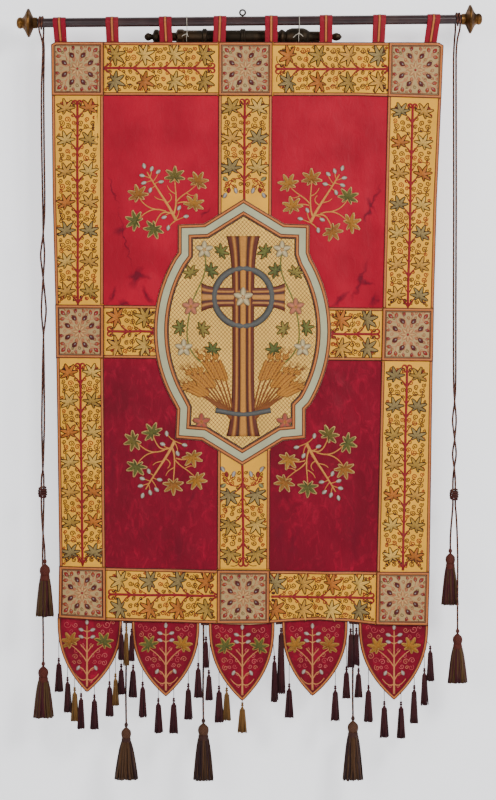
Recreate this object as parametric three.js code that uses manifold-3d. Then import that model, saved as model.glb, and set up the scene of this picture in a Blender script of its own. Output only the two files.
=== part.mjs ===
// A church banner of red cloth with embroidered gold bands, hung by eight tabs on a turned rod.
// Millimetres, +X to the viewer's right, +Y away from the viewer, +Z up.
// The origin is the middle of the iron eye on top of the rod, where the banner hangs.
// Every piece of cloth follows one fold surface, so that layer lies on layer with an even gap.
import * as THREE from "three";
import { mergeVertices } from "three/addons/utils/BufferGeometryUtils.js";
import Module from "manifold-3d";

const wasm = await Module();
wasm.setup();

// Driving dimensions
const FLATNESS = 0.02; // faces that are this near one plane are joined
const GAP = 0.35; // between pieces that lie on each other
const ROD_RADIUS = 16;
const ROD_LEFT = -697;
const ROD_RIGHT = 743;
const ROD_DROP = 28.9; // from the eye's middle down to the rod's axis
const ROD_RISE = 0.0085; // per millimetre to the right
const EYE_RADIUS = 9.3; // to the middle of the wire
const EYE_WIRE = 3.2;
const EYE_SHANK = 21;
const FINIAL_LENGTH = 72;
const STAFF_DROP = 76; // axis of the staff tied behind the rod
const STAFF_BACK = 46;
const STRING_SIZE = 2.4;
const KNOT_SHARE = 0.6; // of the way from the rod down to the staff
const TAB_WIDTH = 43;
const TAB_CLOTH = 1.8;
const TAB_TAIL = 26; // sewn to the back of the banner
const GROUND_CLOTH = 2.4;
const BAND_CLOTH = 1.8;
const SCALLOP_CLOTH = 2;
const SCALLOP_TUCK = 14; // behind the hem
const FRAME_WIDTH = 48; // border of the medallion
const FRINGE_BRAID = 11.5;
const FRINGE_RUN = 5; // height of the braid between two scallops
const CORD_RADIUS = 3.5;
const CORD_SIDES = 8;
const HANG_LOCKS = 3; // locks in a small tassel
const CORD_LOCKS = 10; // locks in a large tassel

// Soft folds of the cloth: the line of each fold at the top and at the foot, its half width, how
// far it goes back (or forward, below zero), and the heights where it begins and is at its full.
const FOLD_TOP = -99;
const FOLD_FOOT = -2080;
const FOLDS = [
  { top: -655, foot: -650, half: 95, back: 15, from: -300, full: -1500 },
  { top: -385, foot: -345, half: 80, back: -7, from: -650, full: -1500 },
  { top: -260, foot: -230, half: 66, back: 6, from: -1050, full: -1700 },
  { top: -160, foot: -165, half: 64, back: -6, from: -1250, full: -1850 },
  { top: 10, foot: 5, half: 180, back: -7, from: -200, full: -1000 },
  { top: 225, foot: 195, half: 66, back: 8, from: -1150, full: -1700 },
  { top: 330, foot: 288, half: 60, back: -9, from: -1150, full: -1750 },
  { top: 425, foot: 385, half: 62, back: 9, from: -250, full: -1500 },
  { top: 515, foot: 478, half: 75, back: -7, from: -500, full: -1700 },
  { top: 695, foot: 655, half: 95, back: 13, from: -250, full: -1400 },
];

// The sheet grid that every cloth piece shares.
const GRID = { left: -668, right: 700, top: -90, foot: -2352, columns: 24, rows: 11, deep: 120 };

// Seams between the pieces: upright ones give x at a height, level ones give z at an x.
const LEFT_EDGE = [
  { at: -99, is: -651.4 },
  { at: -637, is: -646 },
  { at: -977, is: -637.8 },
  { at: -1317, is: -632.4 },
  { at: -1880, is: -624.2 },
  { at: -2058, is: -627 },
];
const LEFT_COLUMN = [
  { at: -99, is: -472.3 },
  { at: -1174, is: -472.3 },
  { at: -2066, is: -464.4 },
];
const CENTRE_LEFT = [
  { at: -99, is: -82 },
  { at: -1900, is: -87 },
  { at: -2078, is: -87.7 },
];
const CENTRE_RIGHT = [
  { at: -99, is: 102.3 },
  { at: -1900, is: 92.3 },
  { at: -2078, is: 91.5 },
];
const RIGHT_COLUMN = [
  { at: -99, is: 497 },
  { at: -1090, is: 474 },
  { at: -1900, is: 455 },
  { at: -2082, is: 452 },
];
const RIGHT_EDGE = [
  { at: -99, is: 684 },
  { at: -297, is: 676 },
  { at: -637, is: 661 },
  { at: -977, is: 651.8 },
  { at: -1317, is: 645.7 },
  { at: -1905, is: 637.2 },
  { at: -2083, is: 632 },
];
const TOP_EDGE = [
  { at: -651, is: -99 },
  { at: 684, is: -101 },
];
const TOP_BAND = [
  { at: -651, is: -282.5 },
  { at: 389, is: -283.5 },
  { at: 684, is: -293 },
];
const MIDDLE_UPPER = [
  { at: -640, is: -992 },
  { at: 652, is: -1005 },
];
const MIDDLE_LOWER = [
  { at: -636, is: -1174 },
  { at: 648, is: -1186 },
];
const FOOT_BAND = [
  { at: -624, is: -1882 },
  { at: -87, is: -1894 },
  { at: 637, is: -1902 },
];
const HEM = [
  { at: -627, is: -2058.5 },
  { at: -464, is: -2067.5 },
  { at: -94, is: -2077 },
  { at: 25, is: -2080.5 },
  { at: 144, is: -2072 },
  { at: 263, is: -2065 },
  { at: 365, is: -2072 },
  { at: 450, is: -2081 },
  { at: 637, is: -2085.5 },
];
const CORNER_CUT = 13; // of the two upper corners

// The medallion's corners, from the upper point down; the sides between the waists are arcs.
const MEDALLION_TOP = { x: 3, z: -634 };
const MEDALLION_FOOT = { x: -1, z: -1539.5 };
const MEDALLION_UPPER = [
  { left: -131, right: 142, z: -718 },
  { left: -219.6, right: 227.8, z: -721 },
  { left: -219.6, right: 226.8, z: -815 },
];
const MEDALLION_LOWER = [
  { left: -224, right: 214.5, z: -1349.5 },
  { left: -228.5, right: 214.5, z: -1448 },
  { left: -139, right: 137.4, z: -1455 },
];
const MEDALLION_BULGE = 80; // of the arcs past their chords
const ARC_STEPS = 6;

// Tabs: middle of each at the rod and at the banner.
const TABS = [
  { rod: -623, banner: -618.5 },
  { rod: -444, banner: -442 },
  { rod: -263, banner: -260 },
  { rod: -76.5, banner: -79.5 },
  { rod: 97.5, banner: 97.5 },
  { rod: 283.5, banner: 283.5 },
  { rod: 465.5, banner: 462 },
  { rod: 650, banner: 639 },
];

// Scallops below the hem: both upper corners and the point.
const SCALLOPS = [
  { left: -630, right: -410, tip: -529.5, foot: -2311.5 },
  { left: -376, right: -147, tip: -261, foot: -2325 },
  { left: -114.5, right: 108, tip: -1, foot: -2340 },
  { left: 134.5, right: 357, tip: 237.5, foot: -2323.5 },
  { left: 395.5, right: 632, tip: 515, foot: -2336 },
];
const SCALLOP_CURVE = 2.5; // exponent of the sides: 1 is a triangle
const SCALLOP_STEPS = 5;

// Small tassels of the fringe: where each hangs, its top and foot, its radius, and how far it hangs
// in front of the braid. Gold ones are marked.
const FRINGE = [
  [
    { x: -626, top: -2194, foot: -2313, radius: 11, front: 2 },
    { x: -596, top: -2259, foot: -2383, radius: 11, front: 2 },
    { x: -571.5, top: -2293, foot: -2412, radius: 10, front: 2, gold: true },
    { x: -549.5, top: -2313, foot: -2438, radius: 10, front: 2 },
    { x: -504, top: -2317, foot: -2439, radius: 11, front: 2 },
    { x: -452.5, top: -2272, foot: -2395, radius: 10, front: 2 },
    { x: -432, top: -2245, foot: -2358, radius: 9, front: 5, gold: true },
    { x: -412.5, top: -2212, foot: -2320, radius: 9, front: 2 },
    { x: -411.5, top: -2090, foot: -2202, radius: 8.5, front: 13 },
  ],
  [
    { x: -394.5, top: -2086, foot: -2220, radius: 7.5, front: 14, gold: true },
    { x: -376.5, top: -2092, foot: -2205, radius: 8.5, front: 13 },
    { x: -371.5, top: -2214, foot: -2329, radius: 11, front: 13 },
    { x: -339.5, top: -2273, foot: -2397, radius: 11, front: 2 },
    { x: -286.5, top: -2329, foot: -2451, radius: 11, front: 2 },
    { x: -234, top: -2329, foot: -2453, radius: 11, front: 2 },
    { x: -184.5, top: -2279, foot: -2405, radius: 11, front: 2 },
    { x: -150.5, top: -2208, foot: -2329, radius: 10, front: 12 },
  ],
  [
    { x: -124, top: -2118, foot: -2228, radius: 9, front: 16 },
    { x: -114.5, top: -2233, foot: -2340, radius: 10, front: 2 },
    { x: -80, top: -2286, foot: -2415, radius: 11, front: 2 },
    { x: -54, top: -2293, foot: -2408, radius: 10, front: 2, gold: true },
    { x: -1, top: -2343, foot: -2449, radius: 11, front: 2, gold: true },
    { x: 108, top: -2184, foot: -2344, radius: 9, front: 13 },
  ],
  [
    { x: 130.5, top: -2090, foot: -2317, radius: 10, front: 13 },
    { x: 158.5, top: -2280, foot: -2400, radius: 11, front: 2 },
    { x: 315, top: -2286, foot: -2409, radius: 11, front: 2 },
    { x: 353.5, top: -2222, foot: -2334, radius: 10, front: 2 },
  ],
  [
    { x: 367, top: -2092, foot: -2228, radius: 9, front: 16 },
    { x: 386.5, top: -2090, foot: -2222, radius: 9, front: 16 },
    { x: 394.5, top: -2228, foot: -2331, radius: 10, front: 4 },
    { x: 428, top: -2285, foot: -2414, radius: 11, front: 2 },
    { x: 481.5, top: -2339, foot: -2466, radius: 11, front: 2 },
    { x: 538.5, top: -2341, foot: -2470, radius: 11, front: 2 },
    { x: 584, top: -2286, foot: -2419, radius: 11, front: 2 },
    { x: 618.5, top: -2228, foot: -2358, radius: 10, front: 5 },
    { x: 638.5, top: -2152, foot: -2276, radius: 10, front: 6 },
  ],
];
const THREAD_DEEP = 0.3; // of a tassel's thread in the braid
const RUN_REACH = [0, 30.5, 28, 22, 34]; // of each scallop's braid along the hem to its left

// Side cords: one cord doubled over the rod, both halves hanging together down to a knot. A row
// gives the middle of the pair, how far each half is from it, and the turn of the front one.
const LEFT_PAIR = [
  { z: -62, x: -684, y: 0, apart: 18.5, turn: -110 },
  { z: -92, x: -680, y: 0, apart: 9, turn: -105 },
  { z: -130, x: -677, y: 0, apart: 4.3, turn: -115 },
  { z: -263, x: -680, y: 0, apart: 4.2, turn: -150 },
  { z: -450, x: -679, y: 0, apart: 4.2, turn: -190 },
  { z: -660, x: -676, y: 0, apart: 4.2, turn: -215 },
  { z: -753, x: -678, y: 0, apart: 4.4, turn: -270 },
  { z: -826, x: -680, y: 0, apart: 6.5, turn: -360 },
  { z: -906, x: -678, y: 0, apart: 4.6, turn: -450 },
  { z: -1011, x: -676, y: 0, apart: 8, turn: -540 },
  { z: -1113, x: -677, y: 0, apart: 4.6, turn: -630 },
  { z: -1320, x: -678, y: 0, apart: 4.2, turn: -690 },
  { z: -1545, x: -679, y: 0, apart: 4.6, turn: -800 },
  { z: -1600, x: -680, y: 0, apart: 4.2, turn: -900 },
  { z: -1662, x: -680, y: 0, apart: 4.2, turn: -900 },
];
const RIGHT_PAIR = [
  { z: -56, x: 731, y: 0, apart: 18.5, turn: -70 },
  { z: -88, x: 726, y: 0, apart: 9, turn: -60 },
  { z: -130, x: 722.5, y: 0, apart: 4.4, turn: -20 },
  { z: -212, x: 721.5, y: 0, apart: 4.3, turn: 0 },
  { z: -640, x: 722, y: 0, apart: 4.2, turn: 5 },
  { z: -1000, x: 721, y: 0, apart: 4.2, turn: 12 },
  { z: -1249, x: 721, y: 0, apart: 4.3, turn: 30 },
  { z: -1324, x: 721, y: 0, apart: 4.6, turn: 90 },
  { z: -1388, x: 720, y: 0, apart: 6, turn: 180 },
  { z: -1453, x: 721, y: 0, apart: 4.6, turn: 270 },
  { z: -1502, x: 720, y: 0, apart: 6, turn: 360 },
  { z: -1550, x: 719.5, y: 0, apart: 4.6, turn: 450 },
  { z: -1606, x: 719, y: 0, apart: 4.2, turn: 540 },
  { z: -1672, x: 719, y: 0, apart: 4.2, turn: 540 },
];
// Below the knot each half runs alone to its tassel.
const LEFT_FRONT_END = [
  [-683, -4, -1700],
  [-679, -12, -1755],
  [-673, -20, -1805],
  [-670.7, -22, -1835],
  [-670.5, -22, -1856],
];
const LEFT_BACK_END = [
  [-677, 5, -1700],
  [-679, 11, -1760],
  [-681, 15, -1830],
  [-681, 16, -1930],
  [-680, 15, -2040],
  [-678.6, 11, -2130],
  [-678.5, 10, -2170],
  [-678.5, 10, -2206],
];
const RIGHT_FRONT_END = [
  [713, 5, -1706],
  [710, 11, -1745],
  [708, 15.5, -1780],
  [707.5, 16, -1800],
  [707.5, 16, -1822],
];
const RIGHT_BACK_END = [
  [725.5, -6, -1706],
  [728, -11, -1760],
  [730, -14, -1840],
  [730, -15, -1940],
  [729.7, -12, -2030],
  [730, -11, -2065],
  [730, -11, -2093],
];
const WRAP_STEPS = 12; // to a full turn round the rod
const WRAP_PITCH = 8.8;
const WRAP_START = 200; // degrees round the rod, from its front over its top
const WRAP_SPLIT = 3.3; // degrees from there to the end of each half, which is cut square
const PAIR_TURN_STEP = 60; // the most degrees from one station to the next

// Large tassels at the ends of the side cords and of the cords below the hem: radius of the head
// and of the skirt's foot, and the length of the skirt.
const TASSELS = [
  { name: "left_upper_tassel", at: [-670.5, -22, -1856.3], head: 18.4, skirt: 30, fall: 124 },
  { name: "left_lower_tassel", at: [-678.5, 10, -2206.3], head: 18, skirt: 34, fall: 122 },
  { name: "right_upper_tassel", at: [707.5, 16, -1822.3], head: 17, skirt: 30, fall: 124 },
  { name: "right_lower_tassel", at: [730, -11, -2093.3], head: 17, skirt: 33, fall: 116 },
];
const HEM_CORDS = [
  { name: "left_hem", x: -396, end: -2413, head: 17.5, skirt: 40, fall: 124 },
  { name: "centre_hem", x: -133.5, end: -2399, head: 19, skirt: 33, fall: 138 },
  { name: "right_hem", x: 375.5, end: -2392, head: 19, skirt: 34, fall: 146 },
];
const HEM_CORD_TUCK = 15; // sewn behind the hem

// Materials
const finish = (color, roughness, metalness = 0) =>
  new THREE.MeshStandardMaterial({ color, roughness, metalness });
const RED_CLOTH = finish(0xa5142a, 0.55);
const GOLD_BAND = finish(0xb9925a, 0.7);
const SAGE_SQUARE = finish(0x9c9a84, 0.75);
const GREY_GREEN = finish(0x8a8f7c, 0.75);
const CREAM_GOLD = finish(0xc9b184, 0.7);
const BRAID = finish(0xb5793a, 0.6);
const MAROON_YARN = finish(0x5a1a22, 0.8);
const CORD_YARN = finish(0x6b3a2c, 0.8);
const DARK_WOOD = finish(0x3c1a12, 0.35);
const OLD_BRASS = finish(0x9a7430, 0.35, 1);
const DARK_BRONZE = finish(0x4a3a26, 0.4, 1);
const IRON = finish(0x2c2a28, 0.5, 1);
const WHITE_STRING = finish(0xd8d0c0, 0.9);

const banner = new THREE.Group();
banner.name = "church_banner";

function solid(geometry) {
  const bare = geometry.clone();
  bare.deleteAttribute("normal");
  bare.deleteAttribute("uv");
  const merged = mergeVertices(bare, 1e-4);
  return new wasm.Manifold(
    new wasm.Mesh({
      numProp: 3,
      vertProperties: new Float32Array(merged.attributes.position.array),
      triVerts: new Uint32Array(merged.index.array),
    }),
  );
}

function geometryOf(body) {
  const mesh = body.asOriginal().simplify(FLATNESS).getMesh();
  const geometry = new THREE.BufferGeometry();
  geometry.setAttribute("position", new THREE.BufferAttribute(mesh.vertProperties, 3));
  geometry.setIndex(new THREE.BufferAttribute(mesh.triVerts, 1));
  const flat = geometry.toNonIndexed();
  flat.computeVertexNormals();
  return flat;
}

const joined = (bodies) => bodies.reduce((whole, body) => whole.add(body)).asOriginal();

function add(name, body, material) {
  const mesh = new THREE.Mesh(geometryOf(body), material);
  mesh.name = name;
  banner.add(mesh);
}

const radians = THREE.MathUtils.degToRad;
const rodHeight = (x) => -ROD_DROP + ROD_RISE * x;

// Seams and outlines
function along(seam, at) {
  const after = seam.findIndex((row, i) => i > 0 && Math.abs(row.at - seam[0].at) >= Math.abs(at - seam[0].at));
  const i = after < 0 ? seam.length - 1 : after;
  const [a, b] = [seam[i - 1], seam[i]];
  return a.is + ((b.is - a.is) * (at - a.at)) / (b.at - a.at);
}

// Where an upright seam and a level seam cross.
function crossing(upright, level) {
  let z = level[0].is;
  for (let turn = 0; turn < 4; turn += 1) z = along(level, along(upright, z));
  return new THREE.Vector2(along(upright, z), z);
}

const knotsOf = (upright, high, low) =>
  upright
    .filter((row) => row.at < high - 1 && row.at > low + 1)
    .map((row) => new THREE.Vector2(row.is, row.at));

const stopsOf = (level, left, right) =>
  level
    .filter((row) => row.at > left + 1 && row.at < right - 1)
    .map((row) => new THREE.Vector2(row.at, row.is));

// The outline between four seams, anticlockwise from its upper left corner.
function cell(left, right, top, foot) {
  const upperLeft = crossing(left, top);
  const lowerLeft = crossing(left, foot);
  const lowerRight = crossing(right, foot);
  const upperRight = crossing(right, top);
  return [
    upperLeft,
    ...knotsOf(left, upperLeft.y, lowerLeft.y),
    lowerLeft,
    ...stopsOf(foot, lowerLeft.x, lowerRight.x),
    lowerRight,
    ...knotsOf(right, upperRight.y, lowerRight.y).reverse(),
    upperRight,
    ...stopsOf(top, upperLeft.x, upperRight.x).reverse(),
  ];
}

// The outline moved inwards all round, with mitred corners.
function inset(outline, distance) {
  const inward = (a, b) => new THREE.Vector2(a.y - b.y, b.x - a.x).normalize();
  return outline.map((point, i) => {
    const before = outline[(i + outline.length - 1) % outline.length];
    const after = outline[(i + 1) % outline.length];
    const one = inward(before, point);
    const two = inward(point, after);
    const reach = distance / (1 + one.dot(two));
    return point.clone().addScaledVector(one.add(two), reach);
  });
}

function prism(outline) {
  const geometry = new THREE.ExtrudeGeometry(new THREE.Shape(outline), {
    depth: 2 * GRID.deep,
    bevelEnabled: false,
  });
  geometry.rotateX(Math.PI / 2);
  geometry.translate(0, GRID.deep, 0);
  return solid(geometry);
}

// The fold surface, and the space behind it moved back by an offset
function fold(x, z) {
  const down = (FOLD_TOP - z) / (FOLD_TOP - FOLD_FOOT);
  return FOLDS.reduce((sum, row) => {
    const line = row.top + (row.foot - row.top) * down;
    const share = THREE.MathUtils.smoothstep(row.from - z, 0, row.from - row.full);
    return sum + row.back * share * Math.exp(-(((x - line) / row.half) ** 2));
  }, 0);
}

// The same surface as the flat triangles of the grid give it.
function faceted(x, z) {
  const wide = (GRID.right - GRID.left) / GRID.columns;
  const high = (GRID.top - GRID.foot) / GRID.rows;
  const across = (x - GRID.left) / wide;
  const down = (GRID.top - z) / high;
  const [column, row] = [Math.floor(across), Math.floor(down)];
  const [u, v] = [across - column, down - row];
  const at = (i, k) => fold(GRID.left + (column + i) * wide, GRID.top - (row + k) * high);
  if (u + v <= 1) return at(0, 0) + (at(1, 0) - at(0, 0)) * u + (at(0, 1) - at(0, 0)) * v;
  return at(1, 1) + (at(0, 1) - at(1, 1)) * (1 - u) + (at(1, 0) - at(1, 1)) * (1 - v);
}

const spaces = new Map();
function behind(offset) {
  if (!spaces.has(offset)) {
    const wide = GRID.right - GRID.left;
    const high = GRID.top - GRID.foot;
    const box = new THREE.BoxGeometry(wide, GRID.deep, high, GRID.columns, 1, GRID.rows);
    box.translate((GRID.left + GRID.right) / 2, GRID.deep / 2, (GRID.top + GRID.foot) / 2);
    const place = box.attributes.position;
    for (let i = 0; i < place.count; i += 1)
      if (place.getY(i) < GRID.deep / 2) place.setY(i, fold(place.getX(i), place.getZ(i)) + offset);
    spaces.set(offset, solid(box));
  }
  return spaces.get(offset);
}

// A sheet on the fold surface: its front offset and its thickness.
const sheet = (outline, front, thick) =>
  behind(front).subtract(behind(front + thick)).intersect(prism(outline));

const BAND_FRONT = -GAP - BAND_CLOTH;
const PATCH_FRONT = BAND_FRONT - GAP - BAND_CLOTH;
const SCALLOP_FRONT = GROUND_CLOTH + GAP;
const FRINGE_FRONT = SCALLOP_FRONT - GAP - BAND_CLOTH;

// Lathe, tube and hanging pieces
function turned(profile, sides) {
  return new THREE.LatheGeometry(
    profile.map(([radius, at]) => new THREE.Vector2(radius, at)),
    sides,
  );
}

class Route extends THREE.CatmullRomCurve3 {
  getPointAt(u, target) {
    return this.getPoint(u, target);
  }
  getTangentAt(u, target) {
    return this.getTangent(u, target);
  }
}

function ringShape(radius, sides) {
  const corner = (i) => {
    const turn = ((i + 0.5) * 2 * Math.PI) / sides;
    return new THREE.Vector2(radius * Math.cos(turn), radius * Math.sin(turn));
  };
  return new THREE.Shape(Array.from({ length: sides }, (_, i) => corner(i)));
}

function tube(points, radius, sides) {
  const route = new Route(points, false, "centripetal");
  return solid(
    new THREE.ExtrudeGeometry(ringShape(radius, sides), {
      steps: points.length - 1,
      extrudePath: route,
      bevelEnabled: false,
    }),
  );
}

const point = ([x, y, z]) => new THREE.Vector3(x, y, z);

// One lock of yarn: a three-sided strand from a root down to a foot further out.
function lock(axis, turn, root, foot, high, low) {
  const strand = new THREE.ExtrudeGeometry(ringShape(1, 3), { depth: high - low, bevelEnabled: false });
  const place = strand.attributes.position;
  for (let i = 0; i < place.count; i += 1) {
    const share = 1 - place.getZ(i) / (high - low);
    const radius = root.radius + (foot.radius - root.radius) * share;
    const out = root.out + (foot.out - root.out) * share + radius * place.getX(i);
    const aside = radius * place.getY(i);
    place.setXYZ(
      i,
      axis.x + out * Math.cos(turn) - aside * Math.sin(turn),
      axis.y + out * Math.sin(turn) + aside * Math.cos(turn),
      low + place.getZ(i),
    );
  }
  return solid(strand);
}

function smallTassel(row, braid) {
  const bead = 12;
  const neck = row.top - bead;
  const cap = neck - 16;
  const hang = new THREE.Vector3(row.x, braid.y - row.front, row.top);
  const head = turned(
    [
      [0, cap],
      [row.radius * 0.86, cap],
      [1.6, neck],
      [4.2, row.top - bead / 2],
      [0, row.top + 1],
    ],
    5,
  );
  head.rotateX(Math.PI / 2);
  head.translate(hang.x, hang.y, 0);
  const thread = tube([braid, hang], 1.3, 3);
  const locks = Array.from({ length: HANG_LOCKS }, (_, i) =>
    lock(
      hang,
      ((i + 0.5) * 2 * Math.PI) / HANG_LOCKS,
      { radius: row.radius * 0.3, out: row.radius * 0.36 },
      { radius: row.radius * 0.5, out: row.radius * 0.55 },
      cap + 2,
      row.foot + i * 3,
    ),
  );
  return joined([solid(head), thread, ...locks]);
}

function largeTassel({ at, head, skirt, fall }) {
  const [x, y, z] = at;
  const axis = new THREE.Vector3(x, y, z);
  const ball = z - 20 - head;
  const collar = ball - head * 0.92;
  const foot = collar - 18;
  const crown = turned(
    [
      [0, foot],
      [head * 0.9, foot],
      [head * 0.78, collar],
      [head, ball - head * 0.4],
      [head * 0.86, ball + head * 0.6],
      [2.8, z - 17],
      [6.4, z - 9],
      [2.8, z],
      [0, z],
    ],
    8,
  );
  crown.rotateX(Math.PI / 2);
  crown.translate(x, y, 0);
  const locks = Array.from({ length: CORD_LOCKS }, (_, i) =>
    lock(
      axis,
      (i * 2 * Math.PI) / CORD_LOCKS,
      { radius: head * 0.2, out: head * 0.68 },
      { radius: skirt * 0.215, out: skirt * 0.785 },
      foot + 8,
      foot - fall + (i % 3) * 5,
    ),
  );
  return joined([solid(crown), ...locks]);
}

// Rod, finials and the hanging eye
function addRod() {
  const middle = (ROD_LEFT + ROD_RIGHT) / 2;
  const rod = new THREE.CylinderGeometry(ROD_RADIUS, ROD_RADIUS, ROD_RIGHT - ROD_LEFT, 20);
  rod.rotateZ(Math.PI / 2);
  rod.rotateY(-Math.atan(ROD_RISE));
  rod.translate(middle, 0, rodHeight(middle));
  const bore = new THREE.CylinderGeometry(EYE_WIRE + GAP, EYE_WIRE + GAP, 2 * EYE_SHANK, 12);
  bore.rotateX(Math.PI / 2);
  bore.translate(0, 0, -EYE_RADIUS);
  add("rod", solid(rod).subtract(solid(bore)), DARK_WOOD);

  const ring = new THREE.TorusGeometry(EYE_RADIUS, EYE_WIRE, 6, 14);
  ring.rotateX(Math.PI / 2);
  const shank = new THREE.CylinderGeometry(EYE_WIRE, EYE_WIRE, EYE_SHANK - 1, 6);
  shank.rotateX(Math.PI / 2);
  shank.translate(0, 0, -EYE_RADIUS - (EYE_SHANK - 1) / 2);
  add("hanging_eye", solid(ring).add(solid(shank)), IRON);
}

function addFinial(name, x, side) {
  const profile = [
    [0, 0],
    [18, 0],
    [20, 6],
    [19, 12],
    [48, 27],
    [49, 33],
    [21, 48],
    [18, 52],
    [20, 58],
    [18, 66],
    [0, FINIAL_LENGTH],
  ];
  const geometry = turned(profile, 14);
  geometry.rotateZ((-side * Math.PI) / 2);
  geometry.rotateY(-Math.atan(ROD_RISE));
  geometry.translate(x, 0, rodHeight(x));
  add(name, solid(geometry), OLD_BRASS);
}

// The turned staff behind the rod, and the two strings that tie it there
const STAFF_PROFILE = [
  [0, -337],
  [14, -323],
  [9, -308],
  [25.5, -301],
  [25.5, -288],
  [15, -280],
  [15, -228],
  [26.5, -222],
  [26.5, -203],
  [22.8, -199],
  [22.8, -137],
  [29, -132],
  [29, -126],
  [22.8, -121],
  [22.8, -8],
  [28.5, -3],
  [28.5, 5],
  [22.8, 10],
  [22.8, 114],
  [18, 122],
  [26, 134],
  [18, 146],
  [30, 166],
  [30, 210],
  [19, 228],
  [19, 262],
  [8, 268],
  [8, 306],
  [14, 322],
  [0, 340],
];

function addStaff() {
  const staff = turned(STAFF_PROFILE, 12);
  staff.rotateZ(-Math.PI / 2);
  staff.translate(0, STAFF_BACK, -STAFF_DROP);
  add("staff", solid(staff), DARK_BRONZE);
}

// The taut loop round two circles in the plane across the rod, as an outline of y and z.
function beltOutline(upper, lower, grow, steps) {
  const [a, b] = [upper.radius + grow, lower.radius + grow];
  const apart = Math.hypot(lower.y - upper.y, lower.z - upper.z);
  const heading = Math.atan2(lower.z - upper.z, lower.y - upper.y);
  const lean = Math.acos((a - b) / apart);
  const arc = (circle, radius, from, to) =>
    Array.from({ length: steps + 1 }, (_, i) => {
      const turn = from + ((to - from) * i) / steps;
      return new THREE.Vector2(
        circle.y + radius * Math.cos(turn),
        circle.z + radius * Math.sin(turn),
      );
    });
  return [
    ...arc(upper, a, heading + lean, heading + 2 * Math.PI - lean),
    ...arc(lower, b, heading - lean, heading + lean),
  ];
}

// A place on the loop's front stretch, as a share of the way down from the rod.
function strandMiddle(upper, lower, grow, share) {
  const apart = Math.hypot(lower.y - upper.y, lower.z - upper.z);
  const heading = Math.atan2(lower.z - upper.z, lower.y - upper.y);
  const turn = heading - Math.acos((upper.radius - lower.radius) / apart);
  const touch = (circle) => ({
    y: circle.y + (circle.radius + grow) * Math.cos(turn),
    z: circle.z + (circle.radius + grow) * Math.sin(turn),
  });
  const [a, b] = [touch(upper), touch(lower)];
  return { y: a.y + (b.y - a.y) * share, z: a.z + (b.z - a.z) * share };
}

// A flat shape in y and z, given a width along x.
function across(outer, hole, x, width) {
  const shape = new THREE.Shape(outer);
  shape.holes.push(new THREE.Path(hole));
  const geometry = new THREE.ExtrudeGeometry(shape, { depth: width, bevelEnabled: false });
  geometry.rotateX(Math.PI / 2);
  geometry.rotateZ(Math.PI / 2);
  geometry.translate(x - width / 2, 0, 0);
  return geometry;
}

function addString(name, x, staffRadius, bow) {
  const spare = 0.95; // a chord of the loop stays clear of what it goes round
  const steps = 10;
  const rod = { y: 0, z: rodHeight(x), radius: ROD_RADIUS + spare };
  const staff = { y: STAFF_BACK, z: -STAFF_DROP, radius: staffRadius + spare };
  const outer = beltOutline(rod, staff, STRING_SIZE, steps);
  const inner = beltOutline(rod, staff, 0, steps);
  const loop = solid(across(outer, inner, x, STRING_SIZE));
  const tie = strandMiddle(rod, staff, STRING_SIZE / 2, KNOT_SHARE);
  const tails = bow.map((end) =>
    tube(
      [[x, tie.y, tie.z], [(x + end[0]) / 2, tie.y - 4, tie.z + 2], end].map(point),
      STRING_SIZE / 2,
      5,
    ),
  );
  const knot = new THREE.IcosahedronGeometry(4, 0);
  knot.translate(x, tie.y, tie.z);
  add(name, joined([loop, solid(knot), ...tails]), WHITE_STRING);
}

// A tab: a strap over the rod whose two legs meet behind the banner's top
function tangentPoint(from, centre, radius, side) {
  const away = Math.hypot(from.x - centre.x, from.y - centre.y);
  const facing = Math.atan2(from.y - centre.y, from.x - centre.x);
  const turn = facing + side * Math.acos(radius / away);
  return { turn, at: new THREE.Vector2(centre.x + radius * Math.cos(turn), centre.y + radius * Math.sin(turn)) };
}

function strapOutline(centre, radius, leftFoot, rightFoot) {
  const steps = 8;
  const left = tangentPoint(leftFoot, centre, radius, -1);
  const right = tangentPoint(rightFoot, centre, radius, 1);
  const start = right.turn;
  const sweep = (left.turn - start + 4 * Math.PI) % (2 * Math.PI);
  return Array.from({ length: steps + 1 }, (_, i) => {
    const turn = start + (sweep * i) / steps;
    return new THREE.Vector2(centre.x + radius * Math.cos(turn), centre.y + radius * Math.sin(turn));
  });
}

function addTab(name, row) {
  const centre = new THREE.Vector2(0, rodHeight(row.rod));
  const edge = along(TOP_EDGE, row.banner);
  const front = GROUND_CLOTH + GAP + 0.1;
  const back = front + 2 * TAB_CLOTH;
  const top = edge + 3;
  const low = edge - TAB_TAIL;
  const foot = (y, z) => new THREE.Vector2(y, z);
  const clear = 1; // a chord of the strap stays clear of the rod
  const outer = [
    ...strapOutline(centre, ROD_RADIUS + clear + TAB_CLOTH, foot(front, top), foot(back, top)),
    foot(front, top),
    foot(front, low),
    foot(back, low),
    foot(back, top),
  ];
  const seam = foot((front + back) / 2, top + 3);
  const inner = [...strapOutline(centre, ROD_RADIUS + clear, seam, seam), seam];
  const strap = across(outer, inner, 0, TAB_WIDTH);
  const place = strap.attributes.position;
  for (let i = 0; i < place.count; i += 1) {
    const share = THREE.MathUtils.clamp((centre.y - place.getZ(i)) / (centre.y - edge), 0, 1);
    place.setX(i, place.getX(i) + row.rod + (row.banner - row.rod) * share);
  }
  add(name, solid(strap), RED_CLOTH);
}

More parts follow.
